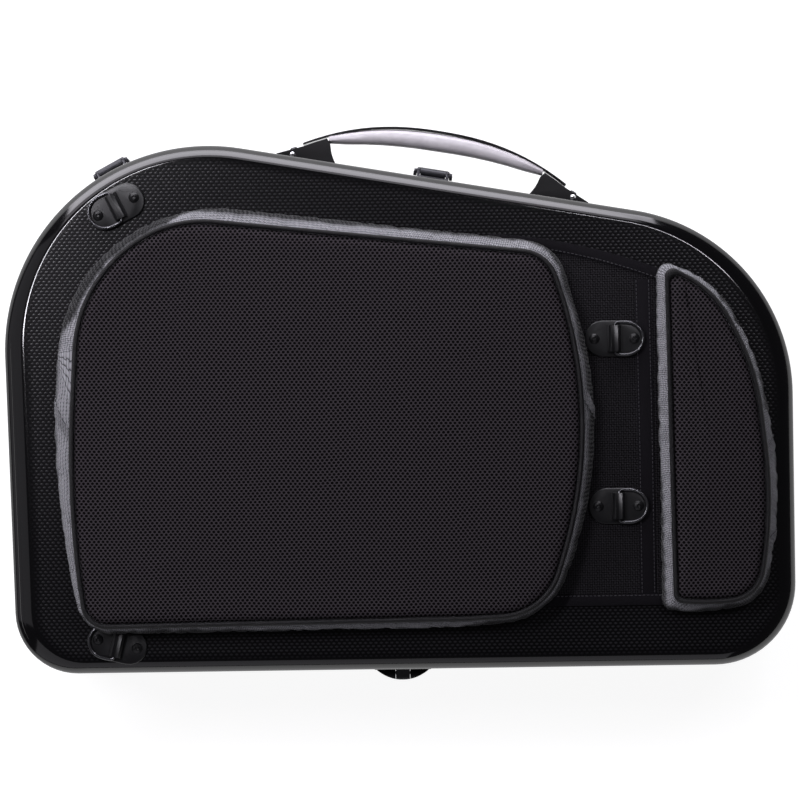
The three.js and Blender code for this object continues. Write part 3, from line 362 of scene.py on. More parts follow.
# Linings: blocks of foam under dark velour, cut out for the horn, its bell and its small
# things. The velour rounds every cut edge.
velour, tree, skin = new_material("Dark velour")
pile = noise_mask(tree, 1400.0, 4.0)
brushed = math_node(tree, "MULTIPLY_ADD", noise_mask(tree, 14.0, 3.0), 1.2, 0.4)
lie = math_node(tree, "MULTIPLY", pile, brushed)
tree.links.new(two_tone(tree, lie, (0.012, 0.012, 0.018), (0.034, 0.034, 0.046)), skin.inputs["Base Color"])
tree.links.new(bump(tree, pile, 0.0006), skin.inputs["Normal"])
skin.inputs["Roughness"].default_value = 0.95
skin.inputs["Sheen Weight"].default_value = 0.5
skin.inputs["Sheen Roughness"].default_value = 0.4


MERGE_DISTANCE = 0.00002


def softened_copy(name, node, width, segments, body, material, angle=35):
    piece = new_object(name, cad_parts[node].data.copy())
    bm = bmesh.new()
    bm.from_mesh(piece.data)
    bmesh.ops.remove_doubles(bm, verts=bm.verts, dist=MERGE_DISTANCE)
    bmesh.ops.dissolve_limit(bm, angle_limit=math.radians(1.0), verts=bm.verts, edges=bm.edges)
    bm.to_mesh(piece.data)
    bm.free()
    for face in piece.data.polygons:
        face.use_smooth = True
    mod = piece.modifiers.new("Rounded edges", "BEVEL")
    mod.width = width
    mod.segments = segments
    mod.limit_method = "ANGLE"
    mod.angle_limit = math.radians(angle)
    mod.harden_normals = True
    dress(piece, material)
    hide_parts(node)
    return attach(piece, body)


for name, node, body, slot in (
    ("front_foam", "front_liner", "front_half", "liner"),
    ("back_foam", "back_liner", "back_half", "liner"),
    ("ring_block_foam", "bell_ring_block", "front_half", "foam_block"),
    ("valve_rest_foam", "valve_rest", "front_half", "foam_block"),
    ("branch_rest_foam", "branch_rest", "front_half", "foam_block"),
    ("mouthpiece_foam", "mouthpiece_block", "front_half", "foam_block"),
):
    softened_copy(name, node, 0.002, 3, body, velour)

# Fabric panel: black ballistic weave glued to the back face between and under the pads, with
# a folded edge at its top, a binding at its foot and a smooth double seam beside the small pad.
threads, threads_in, threads_out = new_group(
    "Plain weave",
    [
        ("Place", "NodeSocketVector", None),
        ("Pitch", "NodeSocketFloat", 0.001),
        ("Slubs", "NodeSocketFloat", 0.3),
    ],
    [("Height", "NodeSocketFloat")],
)
split = threads.nodes.new("ShaderNodeSeparateXYZ")
threads.links.new(threads_in.outputs["Place"], split.inputs[0])
u = math_node(threads, "DIVIDE", split.outputs["X"], threads_in.outputs["Pitch"])
v = math_node(threads, "DIVIDE", split.outputs["Y"], threads_in.outputs["Pitch"])
checker = math_node(threads, "FLOORED_MODULO", math_node(
    threads, "ADD", math_node(threads, "FLOOR", u), math_node(threads, "FLOOR", v)), 2.0)
across_u, across_v = (
    math_node(threads, "SINE", math_node(threads, "MULTIPLY", math_node(threads, "FRACT", way), math.pi))
    for way in (u, v)
)
warp = math_node(threads, "MULTIPLY", checker, across_v)
weft = math_node(threads, "MULTIPLY", math_node(threads, "SUBTRACT", 1.0, checker), across_u)
height = math_node(threads, "ADD", warp, weft)
slub = threads.nodes.new("ShaderNodeTexNoise")
slub.inputs["Scale"].default_value = 600.0
threads.links.new(threads_in.outputs["Place"], slub.inputs["Vector"])
height = math_node(threads, "MULTIPLY_ADD", slub.outputs["Fac"], threads_in.outputs["Slubs"], height)
threads.links.new(height, threads_out.inputs["Height"])


def cloth_material(name, dark, light, place, pitch, depth, roughness, sheen, slubs=0.3):
    material, tree, skin = new_material(name)
    weave = place_group(tree, threads, Place=place(tree), Pitch=pitch, Slubs=slubs)
    crossing = math_node(tree, "MULTIPLY_ADD", weave.outputs["Height"], 1.5, -0.6)
    worn = math_node(tree, "MULTIPLY_ADD", noise_mask(tree, 30.0, 4.0), 0.6, 0.7)
    clamp = tree.nodes.new("ShaderNodeClamp")
    tree.links.new(math_node(tree, "MULTIPLY", crossing, worn), clamp.inputs["Value"])
    tree.links.new(two_tone(tree, clamp.outputs["Result"], dark, light), skin.inputs["Base Color"])
    tree.links.new(bump(tree, weave.outputs["Height"], depth), skin.inputs["Normal"])
    skin.inputs["Roughness"].default_value = roughness
    skin.inputs["Sheen Weight"].default_value = sheen
    skin.inputs["Specular IOR Level"].default_value = 0.04
    return material


panel_weave = cloth_material("Ballistic weave", (0.0005, 0.0005, 0.0006), (0.016, 0.0150, 0.017),
                             object_place, 0.0019, 0.0006, 0.8, 0.0)
binding_cloth = cloth_material("Smooth black binding", (0.0030, 0.0027, 0.0034), (0.0075, 0.0068, 0.0085),
                               object_place, 0.0006, 0.0001, 0.6, 0.0)

PANEL_CORNERS = [
    (0.070, 0.049, 0.010),
    (0.252, 0.049, 0.010),
    (0.252, 0.306, 0.010),
    (0.070, 0.348, 0.010),
]
PANEL_TOP = FACE_Z + 0.0019


def flat_piece(name, outline, low, high, material, body, bevel=0.0004):
    rings = [
        [(x, y + HINGE_EDGE_Y, low) for x, y in outline],
        [(x, y + HINGE_EDGE_Y, high) for x, y in outline],
    ]
    piece = loft_mesh(name, rings)
    mod = piece.modifiers.new("Soft edge", "BEVEL")
    mod.width = bevel
    mod.segments = 2
    mod.limit_method = "ANGLE"
    shade_smooth(piece)
    dress(piece, material)
    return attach(piece, body)


panel = flat_piece("panel_cloth", [tuple(p) for p in rounded_outline(PANEL_CORNERS)],
                   FACE_Z + 0.0003, PANEL_TOP, panel_weave, "back_half")
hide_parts("fabric_panel")


def band(name, path, width, thickness):
    left, right = [], []
    for i, point in enumerate(path):
        ahead = Vector(path[min(i + 1, len(path) - 1)]) - Vector(path[max(i - 1, 0)])
        side = Vector((-ahead.y, ahead.x)).normalized() * width / 2
        left.append(tuple(Vector(point) + side))
        right.append(tuple(Vector(point) - side))
    return flat_piece(name, right + left[::-1], PANEL_TOP - GLUE_SINK, PANEL_TOP + thickness, binding_cloth,
                      "back_half", thickness * 0.45)


GLUE_SINK = 0.0002
TOP_FOLD = [(0.072 + 0.0225 * k, 0.3425 - 0.0055 * k + 0.0006 * k * (7 - k)) for k in range(8)]
SEAM_LINE = [(0.1965, 0.058), (0.1962, 0.180), (0.1950, 0.309)]
band("panel_top_fold", TOP_FOLD, 0.009, 0.0008)
band("panel_foot_binding", [(0.074, 0.0535), (0.250, 0.0535)], 0.009, 0.0008)
band("panel_seam", SEAM_LINE, 0.013, 0.0007)

# Sewing: rows of thread stitches along the panel's folds, one node group for every row.
stitches = bpy.data.node_groups.new("Stitch row", "GeometryNodeTree")
stitches.interface.new_socket(name="Geometry", in_out="INPUT", socket_type="NodeSocketGeometry")
for label, value in (("Spacing", 0.003), ("Stitch Length", 0.0022), ("Thread Radius", 0.0003)):
    size = stitches.interface.new_socket(name=label, in_out="INPUT", socket_type="NodeSocketFloat")
    size.default_value = value
stitches.interface.new_socket(name="Thread", in_out="INPUT", socket_type="NodeSocketMaterial")
stitches.interface.new_socket(name="Geometry", in_out="OUTPUT", socket_type="NodeSocketGeometry")
enter = stitches.nodes.new("NodeGroupInput")
leave = stitches.nodes.new("NodeGroupOutput")
curve = stitches.nodes.new("GeometryNodeMeshToCurve")
even = stitches.nodes.new("GeometryNodeResampleCurve")
even.mode = "LENGTH"
ball = stitches.nodes.new("GeometryNodeMeshUVSphere")
ball.inputs["Segments"].default_value = 8
ball.inputs["Rings"].default_value = 6
ball.inputs["Radius"].default_value = 1.0
tangent = stitches.nodes.new("GeometryNodeInputTangent")
turn_to = stitches.nodes.new("FunctionNodeAlignRotationToVector")
turn_to.axis = "X"
shape = stitches.nodes.new("ShaderNodeCombineXYZ")
half = math_node(stitches, "MULTIPLY", enter.outputs["Stitch Length"], 0.5)
copies = stitches.nodes.new("GeometryNodeInstanceOnPoints")
real = stitches.nodes.new("GeometryNodeRealizeInstances")
thread = stitches.nodes.new("GeometryNodeSetMaterial")
smooth = stitches.nodes.new("GeometryNodeSetShadeSmooth")
for start, end in (
    (enter.outputs["Geometry"], curve.inputs["Mesh"]),
    (curve.outputs["Curve"], even.inputs["Curve"]),
    (enter.outputs["Spacing"], even.inputs["Length"]),
    (even.outputs["Curve"], copies.inputs["Points"]),
    (ball.outputs["Mesh"], copies.inputs["Instance"]),
    (tangent.outputs["Tangent"], turn_to.inputs["Vector"]),
    (turn_to.outputs["Rotation"], copies.inputs["Rotation"]),
    (half, shape.inputs["X"]),
    (enter.outputs["Thread Radius"], shape.inputs["Y"]),
    (enter.outputs["Thread Radius"], shape.inputs["Z"]),
    (shape.outputs["Vector"], copies.inputs["Scale"]),
    (copies.outputs["Instances"], real.inputs["Geometry"]),
    (real.outputs["Geometry"], thread.inputs["Geometry"]),
    (enter.outputs["Thread"], thread.inputs["Material"]),
    (thread.outputs["Geometry"], smooth.inputs["Geometry"]),
    (smooth.outputs["Geometry"], leave.inputs["Geometry"]),
):
    stitches.links.new(start, end)

thread_black, tree, skin = new_material("Black thread")
rough_between(tree, skin, noise_mask(tree, 800.0), 0.2, 0.35)
skin.inputs["Base Color"].default_value = (0.020, 0.018, 0.023, 1)


def grown(name, points, group, values):
    mesh = bpy.data.meshes.new(name)
    mesh.from_pydata(points, [(i, i + 1) for i in range(len(points) - 1)], [])
    piece = new_object(name, mesh)
    nodes = piece.modifiers.new(group.name, "NODES")
    nodes.node_group = group
    for item in group.interface.items_tree:
        if item.in_out == "INPUT" and item.name in values:
            nodes[item.identifier] = values[item.name]
    bpy.context.view_layer.update()
    ready = piece.evaluated_get(bpy.context.evaluated_depsgraph_get())
    made = bpy.data.meshes.new_from_object(ready)
    piece.modifiers.clear()
    piece.data = made
    return piece


STITCH = {"Spacing": 0.0032, "Stitch Length": 0.0024, "Thread Radius": 0.00034, "Thread": thread_black}
STITCH_RISE = 0.0009
FOLD_HEM = 0.0032
SEAM_HALF = 0.0050
SEAM_SEWN = [(0.1965, 0.060), (0.1962, 0.180), (0.1950, 0.307)]
stitched = {
    "top_fold_stitches": [(x, y - FOLD_HEM) for x, y in TOP_FOLD],
    "seam_stitches_left": [(x - SEAM_HALF, y) for x, y in SEAM_SEWN],
    "seam_stitches_right": [(x + SEAM_HALF, y) for x, y in SEAM_SEWN],
    "foot_stitches": [(0.118, 0.0570), (0.206, 0.0570)],
}
for name, path in stitched.items():
    row_points = [(x, y + HINGE_EDGE_Y, PANEL_TOP + STITCH_RISE) for x, y in path]
    piece = grown(name, row_points, stitches, STITCH)
    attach(piece, "back_half")

# Pads: foam cushions. Spacer mesh with staggered holes lies on top, a woven gusset goes round
# the sides, and a corded piping is sewn between them. The foam draws the gusset in at its waist.
airmesh, tree, skin = new_material("Spacer mesh")
place = object_place(tree)
wobble = tree.nodes.new("ShaderNodeTexNoise")
wobble.inputs["Scale"].default_value = 18.0
tree.links.new(place, wobble.inputs["Vector"])
HOLE_WANDER = (0.0030, 0.0030, 0.0)
shifted = tree.nodes.new("ShaderNodeVectorMath")
shifted.operation = "MULTIPLY_ADD"
tree.links.new(wobble.outputs["Color"], shifted.inputs[0])
shifted.inputs[1].default_value = HOLE_WANDER
tree.links.new(place, shifted.inputs[2])
holes = place_group(tree, stagger, Place=shifted.outputs[0], Cell_Length=0.0036, Cell_Width=0.0023,
                    Oval_Length=0.0026, Oval_Width=0.0024, Softness=0.18)
pierced = two_tone(tree, holes.outputs["Height"], (0.031, 0.0268, 0.0306), (0.0010, 0.0008, 0.0010))
tree.links.new(pierced, skin.inputs["Base Color"])
sunk = math_node(tree, "SUBTRACT", 1.0, holes.outputs["Height"])
tree.links.new(bump(tree, sunk, 0.0009), skin.inputs["Normal"])
skin.inputs["Roughness"].default_value = 0.85
skin.inputs["Specular IOR Level"].default_value = 0.04

gusset_weave = cloth_material("Pale woven gusset", (0.020, 0.020, 0.022), (0.245, 0.245, 0.26),
                              uv_place, 0.0017, 0.0005, 0.7, 0.1, 0.5)
tree = gusset_weave.node_tree
skin = tree.nodes["Principled BSDF"]
woven = skin.inputs["Base Color"].links[0].from_socket
# The woven colour is multiplied by the "shade" attribute of each point: painted shade, set per point where the
# pads are built.
shade = tree.nodes.new("ShaderNodeAttribute")
shade.attribute_name = "shade"
shaded = tree.nodes.new("ShaderNodeMix")
shaded.data_type = "RGBA"
shaded.blend_type = "MULTIPLY"
shaded.inputs["Factor"].default_value = 1.0
tree.links.new(woven, shaded.inputs["A"])
tree.links.new(shade.outputs["Color"], shaded.inputs["B"])
tree.links.new(shaded.outputs["Result"], skin.inputs["Base Color"])
piping_cloth = cloth_material("Black piping", (0.0010, 0.0010, 0.0012), (0.0060, 0.0056, 0.0066),
                              uv_place, 0.0010, 0.0002, 0.40, 0.0)
piping_cloth.node_tree.nodes["Principled BSDF"].inputs["Specular IOR Level"].default_value = 0.2

MAIN_SEAT = [
    (-0.2523, 0.0326, 0.0287),
    (0.0450, 0.0344, 0.400),
    (0.1189, 0.0407, 0.0564),
    (0.1712, 0.1825, 0.3277),
    (0.1267, 0.3377, 0.0367),
    (-0.1802, 0.3742, 0.1295),
    (-0.2656, 0.3089, 0.1220),
    (-0.2798, 0.1532, 0.5995),
]
MAIN_SEAM = [
    (-0.2514, 0.0369, 0.0210),
    (0.0524, 0.0396, 0.400),
    (0.1157, 0.0428, 0.0515),
    (0.1650, 0.2008, 0.3530),
    (0.1200, 0.3314, 0.0320),
    (-0.1802, 0.3639, 0.0960),
    (-0.2548, 0.3111, 0.1110),
    (-0.2650, 0.1339, 0.7900),
]
SMALL_SEAT = [
    (0.2072, 0.0459, 0.0082),
    (0.2446, 0.0430, 0.1479),
    (0.2885, 0.0527, 0.0304),
    (0.3030, 0.1398, 0.2929),
    (0.2872, 0.2391, 0.2233),
    (0.2549, 0.3049, 0.0907),
    (0.2056, 0.3256, 0.0094),
]
SMALL_SEAM = [
    (0.2150, 0.0514, 0.0079),
    (0.2466, 0.0498, 0.1887),
    (0.2840, 0.0536, 0.0297),
    (0.2968, 0.1267, 0.3480),
    (0.2842, 0.2357, 0.1795),
    (0.2521, 0.2993, 0.0815),
    (0.2112, 0.3211, 0.0066),
]
PAD_FOOT = PANEL_TOP + 0.0003
CORD_RADIUS = 0.0020
CORD_SIDES = 10
CORD_LIFT = 0.0019
EDGE_INSET = 0.0040
CROWN_RISE = 0.0065
PAD_SPACING = 0.003
LEAST_CORNER = 0.006

# Rows of a pad's side as drawn for the big pad: how far in from its seat, how high, and how far
# up the side a painted shade has lifted, from painted shadow under the foam to full light.
DRAWN_SIDE_HEIGHT = 0.0215
PAD_SIDE = [
    (0.0060, 0.0, 0.0), (0.0035, 0.0015, 0.0), (0.0012, 0.0045, 0.0), (0.0003, 0.0068, 0.0),
    (-0.0002, 0.0092, 0.02), (-0.0003, 0.0115, 0.12), (-0.0001, 0.0135, 0.24), (0.0002, 0.0155, 0.40),
    (0.0009, 0.0175, 0.60), (0.0020, 0.0195, 0.80),
]


SETTLING_FRAMES = 12
MOST_RUCK = 0.0006


def ruck_gusset(name, side):
    count = len(side[0])
    strip = loft_mesh(name, side, capped=False)
    sewn = strip.vertex_groups.new(name="Sewn")
    for vertex in range(len(strip.data.vertices)):
        row = vertex // count
        sewn.add([vertex], 0.0 if 2 <= row < len(side) - 1 else 1.0, "REPLACE")
    cloth = strip.modifiers.new("Gusset cloth", "CLOTH")
    cloth.settings.vertex_group_mass = "Sewn"
    cloth.settings.shrink_min = -0.035
    cloth.settings.effector_weights.gravity = 0.0
    cloth.settings.bending_stiffness = 0.2
    cloth.settings.quality = 4
    cloth.collision_settings.use_collision = False
    cloth.point_cache.frame_end = SETTLING_FRAMES
    for moment in range(SETTLING_FRAMES):
        bpy.context.scene.frame_set(moment + 1)
    ready = strip.evaluated_get(bpy.context.evaluated_depsgraph_get())
    moved = [vertex.co.copy() for vertex in ready.data.vertices]
    bpy.data.objects.remove(strip)
    bpy.context.scene.frame_set(1)
    for row, points in enumerate(side):
        for k, point in enumerate(points):
            step = moved[row * count + k] - point
            points[k] = point + step * min(1.0, MOST_RUCK / max(step.length, 1e-6))


# Painted shade for a pad's gusset at one point of its height, multiplied into its colour: darkest
# where it is narrow or faces away from the shoulder, and a painted shadow round the shoulder corner.
LIT_FROM = Vector((-0.6, 0.8))
# The painted shadow round the big pad's left shoulder corner: its centre, reach and fade.
SHADED_CORNER = Vector((-0.232, 0.335 + HINGE_EDGE_Y))
SHADED_CORNER_REACH = 0.075
SHADED_CORNER_FADE = 0.02
NARROW_GUSSET = 0.006


def painted_gusset_shade(foot, edge, shade_lift):
    across = foot.xy - edge.xy
    width = across.length - EDGE_INSET
    start = min(0.36, 0.16 - 0.45 * across.normalized().dot(LIT_FROM) + 20 * max(0.0, NARROW_GUSSET - width))
    from_corner = (foot.xy - SHADED_CORNER).length
    start = max(start, 0.62 * min(1.0, max(0.0, (SHADED_CORNER_REACH - from_corner) / SHADED_CORNER_FADE)))
    return 0.06 + 0.94 * min(1.0, max(0.0, (shade_lift - start) / 0.2))


def pad_pieces(name, seat, seam, height, crown, pucker, nodes):
    edge_z = PAD_FOOT + height - CROWN_RISE
    lift = (height - CROWN_RISE) / DRAWN_SIDE_HEIGHT

    def ring(inset, z, share):
        return blended_ring(seat, seam, inset, z, share, PAD_SPACING, LEAST_CORNER)

    side = [ring(inset, PAD_FOOT + z * lift, share) for inset, z, share in PAD_SIDE]
    side.append(ring(EDGE_INSET, edge_z, 1.0))
    for level, points in enumerate(side[2:10], start=2):
        hold = (level / 9) ** 3
        for i, point in enumerate(points):
            wave = noise.noise(point * 55) + 0.6 * noise.noise(point * 130 + Vector((3, 1, 0)))
            after = points[(i + 1) % len(points)]
            out = Vector((after.y - point.y, point.x - after.x, 0)).normalized()
            side[level][i] = point + out * wave * pucker * hold
    ruck_gusset(name + "_strip", side)
    top = [ring(EDGE_INSET, edge_z, 1.0)]
    for reach, rise in ((0.0005, 0.0012), (0.0012, 0.0023), (0.0022, 0.0032), (0.0034, 0.0039)):
        top.append(ring(EDGE_INSET + reach, edge_z + rise, 1.0))
    centre = sum(top[-1], Vector()) / len(top[-1])
    for share in (0.98, 0.95, 0.91, 0.85, 0.75, 0.64, 0.52, 0.40, 0.28, 0.16, 0.06):
        rise = 0.0025 * math.sqrt(1 - share)
        top.append([centre.lerp(point, share) + Vector((0, 0, rise)) for point in top[4]])
    for points in top[7:]:
        for point in points:
            point.z += 0.0005 * noise.noise(point * 14) * crown
    body = loft_mesh(name + "_cushion", side + top[1:])
    body.data.materials.append(gusset_weave)
    body.data.materials.append(airmesh)
    count = len(side[0])
    # Each point gets its painted shade in the "shade" attribute, which the gusset's colour is multiplied by.
    painted_shade = body.data.attributes.new("shade", "FLOAT", "POINT")
    for vertex in range(len(body.data.vertices)):
        row, k = divmod(vertex, count)
        shade_lift = PAD_SIDE[row][2] if row < len(PAD_SIDE) else 1.0
        painted_shade.data[vertex].value = painted_gusset_shade(side[0][k], side[-1][k], shade_lift)
    for face in body.data.polygons:
        face.use_smooth = True
        face.material_index = 1 if face.index >= (len(side) - 1) * count else 0
    body.data.polygons[len(body.data.polygons) - 2].material_index = 0
    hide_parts(nodes[0])
    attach(body, "back_half")
    turns = [2 * math.pi * k / CORD_SIDES for k in range(CORD_SIDES)]
    cord_rings = [
        ring(CORD_RADIUS + CORD_RADIUS * math.cos(a), edge_z + CORD_LIFT + CORD_RADIUS * math.sin(a), 1.0)
        for a in turns
    ]
    piping = loft_mesh(name + "_cord", cord_rings, looped=True)
    shade_smooth(piping, 80)
    dress(piping, piping_cloth)
    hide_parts(nodes[1])
    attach(piping, "back_half")
    return side


main_side = pad_pieces("main_pad", MAIN_SEAT, MAIN_SEAM, 0.028, 1.0, 0.0012,
                       ("main_pad", "main_pad_piping"))
small_side = pad_pieces("small_pad", SMALL_SEAT, SMALL_SEAM, 0.026, 0.3, 0.0024,
                        ("small_pad", "small_pad_piping"))


TAPE = 0.0006
THREAD_PITCH = 0.003


# Each gusset's two lengths of cloth overlap in a short join.
def gusset_join(name, side, place, width):
    spot = Vector((place[0], place[1] + HINGE_EDGE_Y))
    ring = side[3]
    middle = min(range(len(ring)), key=lambda i: (ring[i].xy - spot).length)
    reach = max(1, round(width / 2 / (ring[middle] - ring[middle - 1]).length))
    rows = []
    for points in side[1:]:
        row = []
        for k in range(middle - reach, middle + reach + 1):
            point, after = points[k % len(points)], points[(k + 1) % len(points)]
            out = Vector((after.y - point.y, point.x - after.x, 0.3 * width)).normalized()
            row.append(point + out * TAPE)
        rows.append(row)
    verts = [point for row in rows for point in row]
    across = len(rows[0])
    faces = [
        (r * across + k, r * across + k + 1, (r + 1) * across + k + 1, (r + 1) * across + k)
        for r in range(len(rows) - 1) for k in range(across - 1)
    ]
    mesh = bpy.data.meshes.new(name)
    mesh.from_pydata(verts, [], faces)
    layer = mesh.uv_layers.new(name="UVMap")
    # The join tapes take an even painted shade of 0.7 in the same attribute.
    painted_shade = mesh.attributes.new("shade", "FLOAT", "POINT")
    for loop in mesh.loops:
        row, k = divmod(loop.vertex_index, across)
        layer.data[loop.index].uv = (k * THREAD_PITCH, row * THREAD_PITCH)
        painted_shade.data[loop.vertex_index].value = 0.7
    piece = new_object(name, mesh)
    thick = piece.modifiers.new("Tape", "SOLIDIFY")
    thick.thickness = TAPE
    thick.offset = 0
    shade_smooth(piece, 60)
    dress(piece, gusset_weave)
    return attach(piece, "back_half")


gusset_join("main_join_left", main_side, (-0.272, 0.214), 0.010)
gusset_join("main_join_right", main_side, (0.154, 0.205), 0.010)
gusset_join("small_join_upper", small_side, (0.300, 0.180), 0.012)
gusset_join("small_join_lower", small_side, (0.296, 0.105), 0.012)

# Lugs and D-rings: zinc plates with two domed rivets and a ridged bridge, enamelled satin
# black. Each holds a ring of black wire by its straight bar.
enamel, tree, skin = new_material("Satin black enamel")
orange = noise_mask(tree, 500.0)
tree.links.new(bump(tree, orange, 0.000008), skin.inputs["Normal"])
rough_between(tree, skin, orange, 0.10, 0.28)
skin.inputs["Base Color"].default_value = (0.004, 0.004, 0.0045, 1)
skin.inputs["Specular IOR Level"].default_value = 0.3

ring_wire, tree, skin = new_material("Black nickel wire")
rough_between(tree, skin, noise_mask(tree, 700.0), 0.08, 0.14)
skin.inputs["Base Color"].default_value = (0.060, 0.060, 0.064, 1)
skin.inputs["Metallic"].default_value = 0.8

for place_name in ("top_left", "foot_left", "mid_upper", "mid_lower"):
    softened_copy("lug_" + place_name, "lug_plate_" + place_name, 0.0003, 2, "back_half", enamel,
                  28)
    ring_copy = softened_copy("ring_" + place_name, "d_ring_" + place_name, 0.0002, 1,
                              "d_ring_" + place_name, ring_wire, 80)
    round_wire = ring_copy.modifiers.new("Round wire", "SUBSURF")
    round_wire.levels = 1
    round_wire.render_levels = 1

# Hinge: two leaves of matt black nylon with rolled knuckles on a steel pin, at the foot edge.
nylon, tree, skin = new_material("Matt black nylon")
rough_between(tree, skin, noise_mask(tree, 1100.0), 0.1, 0.5)
skin.inputs["Base Color"].default_value = (0.004, 0.004, 0.0044, 1)
skin.inputs["Specular IOR Level"].default_value = 0.12
for name in ("hinge_front_leaf", "hinge_back_leaf"):
    dress(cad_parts[name], nylon)

steel, tree, skin = new_material("Polished steel")
rough_between(tree, skin, noise_mask(tree, 300.0), 0.15, 0.10)
skin.inputs["Base Color"].default_value = (0.75, 0.75, 0.77, 1)
skin.inputs["Metallic"].default_value = 1.0
dress(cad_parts["hinge_pin"], steel)

# Latches: pressed steel levers with a satin dark finish, each on a barrel between two ears,
# over a keeper with a rib on the other half.
latch_steel, tree, skin = new_material("Satin latch steel")
brushing = noise_mask(tree, 260.0)
rough_between(tree, skin, brushing, 0.2, 0.26)
tree.links.new(bump(tree, brushing, 0.00004), skin.inputs["Normal"])
skin.inputs["Base Color"].default_value = (0.022, 0.022, 0.026, 1)
skin.inputs["Metallic"].default_value = 0.6
for place_name in ("middle", "shoulder"):
    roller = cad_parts["latch_barrel_" + place_name]
    dress(roller, latch_steel)
    for face in roller.data.polygons:
        face.use_smooth = True
    for kind, body in (("base", "back_half"), ("lever", "latch_" + place_name), ("keeper", "front_half")):
        softened_copy(f"{kind}_{place_name}", f"latch_{kind}_{place_name}", 0.0004, 2, body, latch_steel,
                      30)

# Handle: a thin black strap over a soft grey grip, held by two wedge-shaped brackets with a
# black screw each on the outer slope. It is fixed to the front half, just below the seam.
grip_rubber, tree, skin = new_material("Soft grey grip")
rub = noise_mask(tree, 120.0, 5.0)
tree.links.new(two_tone(tree, rub, (0.36, 0.34, 0.36), (0.52, 0.50, 0.52)), skin.inputs["Base Color"])
tree.links.new(bump(tree, rub, 0.0002), skin.inputs["Normal"])
skin.inputs["Roughness"].default_value = 0.42

strap_gloss, tree, skin = new_material("Black strap")
tree.links.new(bump(tree, noise_mask(tree, 400.0), 0.00003), skin.inputs["Normal"])
skin.inputs["Base Color"].default_value = (0.003, 0.003, 0.0034, 1)
skin.inputs["Roughness"].default_value = 0.2
skin.inputs["Specular IOR Level"].default_value = 0.3

STRAP_THINNED = 0.0014
GRIP_STRETCH = 1.04
strap = softened_copy("handle_top_strap", "handle_strap", 0.0008, 3, "front_half", strap_gloss, 30)
for vertex in strap.data.vertices:
    if vertex.normal.y < -0.25:
        vertex.co.y += STRAP_THINNED
grip = softened_copy("handle_soft_grip", "handle_grip", 0.0006, 2, "front_half", grip_rubber, 60)
grip_middle = sum(vertex.co.x for vertex in grip.data.vertices) / len(grip.data.vertices)
for vertex in grip.data.vertices:
    if vertex.normal.y > 0.25:
        vertex.co.y += STRAP_THINNED
    vertex.co.x = grip_middle + (vertex.co.x - grip_middle) * GRIP_STRETCH
for side in ("left", "right"):
    softened_copy("handle_wedge_" + side, "handle_bracket_" + side, 0.0005, 2, "front_half", nylon,
                  30)
    softened_copy("handle_screw_head_" + side, "handle_screw_" + side, 0.0002, 2, "front_half", ring_wire,
                  30)

# Face screws: a bright tapered head with a dark socket on the upper face of each handle
# bracket, from one node group for both.
heads = bpy.data.node_groups.new("Screw heads", "GeometryNodeTree")
heads.interface.new_socket(name="Geometry", in_out="INPUT", socket_type="NodeSocketGeometry")
for label, value in (("Head Radius", 0.0024), ("Head Height", 0.0013), ("Socket Radius", 0.0008)):
    size = heads.interface.new_socket(name=label, in_out="INPUT", socket_type="NodeSocketFloat")
    size.default_value = value
for label in ("Metal", "Socket Metal"):
    heads.interface.new_socket(name=label, in_out="INPUT", socket_type="NodeSocketMaterial")
heads.interface.new_socket(name="Geometry", in_out="OUTPUT", socket_type="NodeSocketGeometry")
enter = heads.nodes.new("NodeGroupInput")
leave = heads.nodes.new("NodeGroupOutput")
head = heads.nodes.new("GeometryNodeMeshCone")
head.inputs["Vertices"].default_value = 28
head.inputs["Side Segments"].default_value = 3
crown = math_node(heads, "MULTIPLY", enter.outputs["Head Radius"], 0.45)
socket = heads.nodes.new("GeometryNodeMeshCylinder")
socket.inputs["Vertices"].default_value = 6
proud = math_node(heads, "MULTIPLY", enter.outputs["Head Height"], 1.04)
lift = math_node(heads, "MULTIPLY", proud, 0.5)
raised = heads.nodes.new("ShaderNodeCombineXYZ")
settle = heads.nodes.new("GeometryNodeTransform")
metal = heads.nodes.new("GeometryNodeSetMaterial")
dark = heads.nodes.new("GeometryNodeSetMaterial")
joined = heads.nodes.new("GeometryNodeJoinGeometry")
copies = heads.nodes.new("GeometryNodeInstanceOnPoints")
real = heads.nodes.new("GeometryNodeRealizeInstances")
for start, end in (
    (enter.outputs["Head Radius"], head.inputs["Radius Bottom"]),
    (crown, head.inputs["Radius Top"]),
    (enter.outputs["Head Height"], head.inputs["Depth"]),
    (head.outputs["Mesh"], metal.inputs["Geometry"]),
    (enter.outputs["Metal"], metal.inputs["Material"]),
    (enter.outputs["Socket Radius"], socket.inputs["Radius"]),
    (proud, socket.inputs["Depth"]),
    (lift, raised.inputs["Z"]),
    (socket.outputs["Mesh"], settle.inputs["Geometry"]),
    (raised.outputs["Vector"], settle.inputs["Translation"]),
    (settle.outputs["Geometry"], dark.inputs["Geometry"]),
    (enter.outputs["Socket Metal"], dark.inputs["Material"]),
    (metal.outputs["Geometry"], joined.inputs["Geometry"]),
    (dark.outputs["Geometry"], joined.inputs["Geometry"]),
    (enter.outputs["Geometry"], copies.inputs["Points"]),
    (joined.outputs["Geometry"], copies.inputs["Instance"]),
    (copies.outputs["Instances"], real.inputs["Geometry"]),
    (real.outputs["Geometry"], leave.inputs["Geometry"]),
):
    heads.links.new(start, end)
BRACKET_TOP = 0.090
for side, x, y in (("left", -0.0852, 0.2088), ("right", 0.1460, 0.1702)):
    piece = grown("face_screw_" + side, [(x, y, BRACKET_TOP)], heads, {"Metal": steel, "Socket Metal": nylon})
    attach(piece, "front_half")

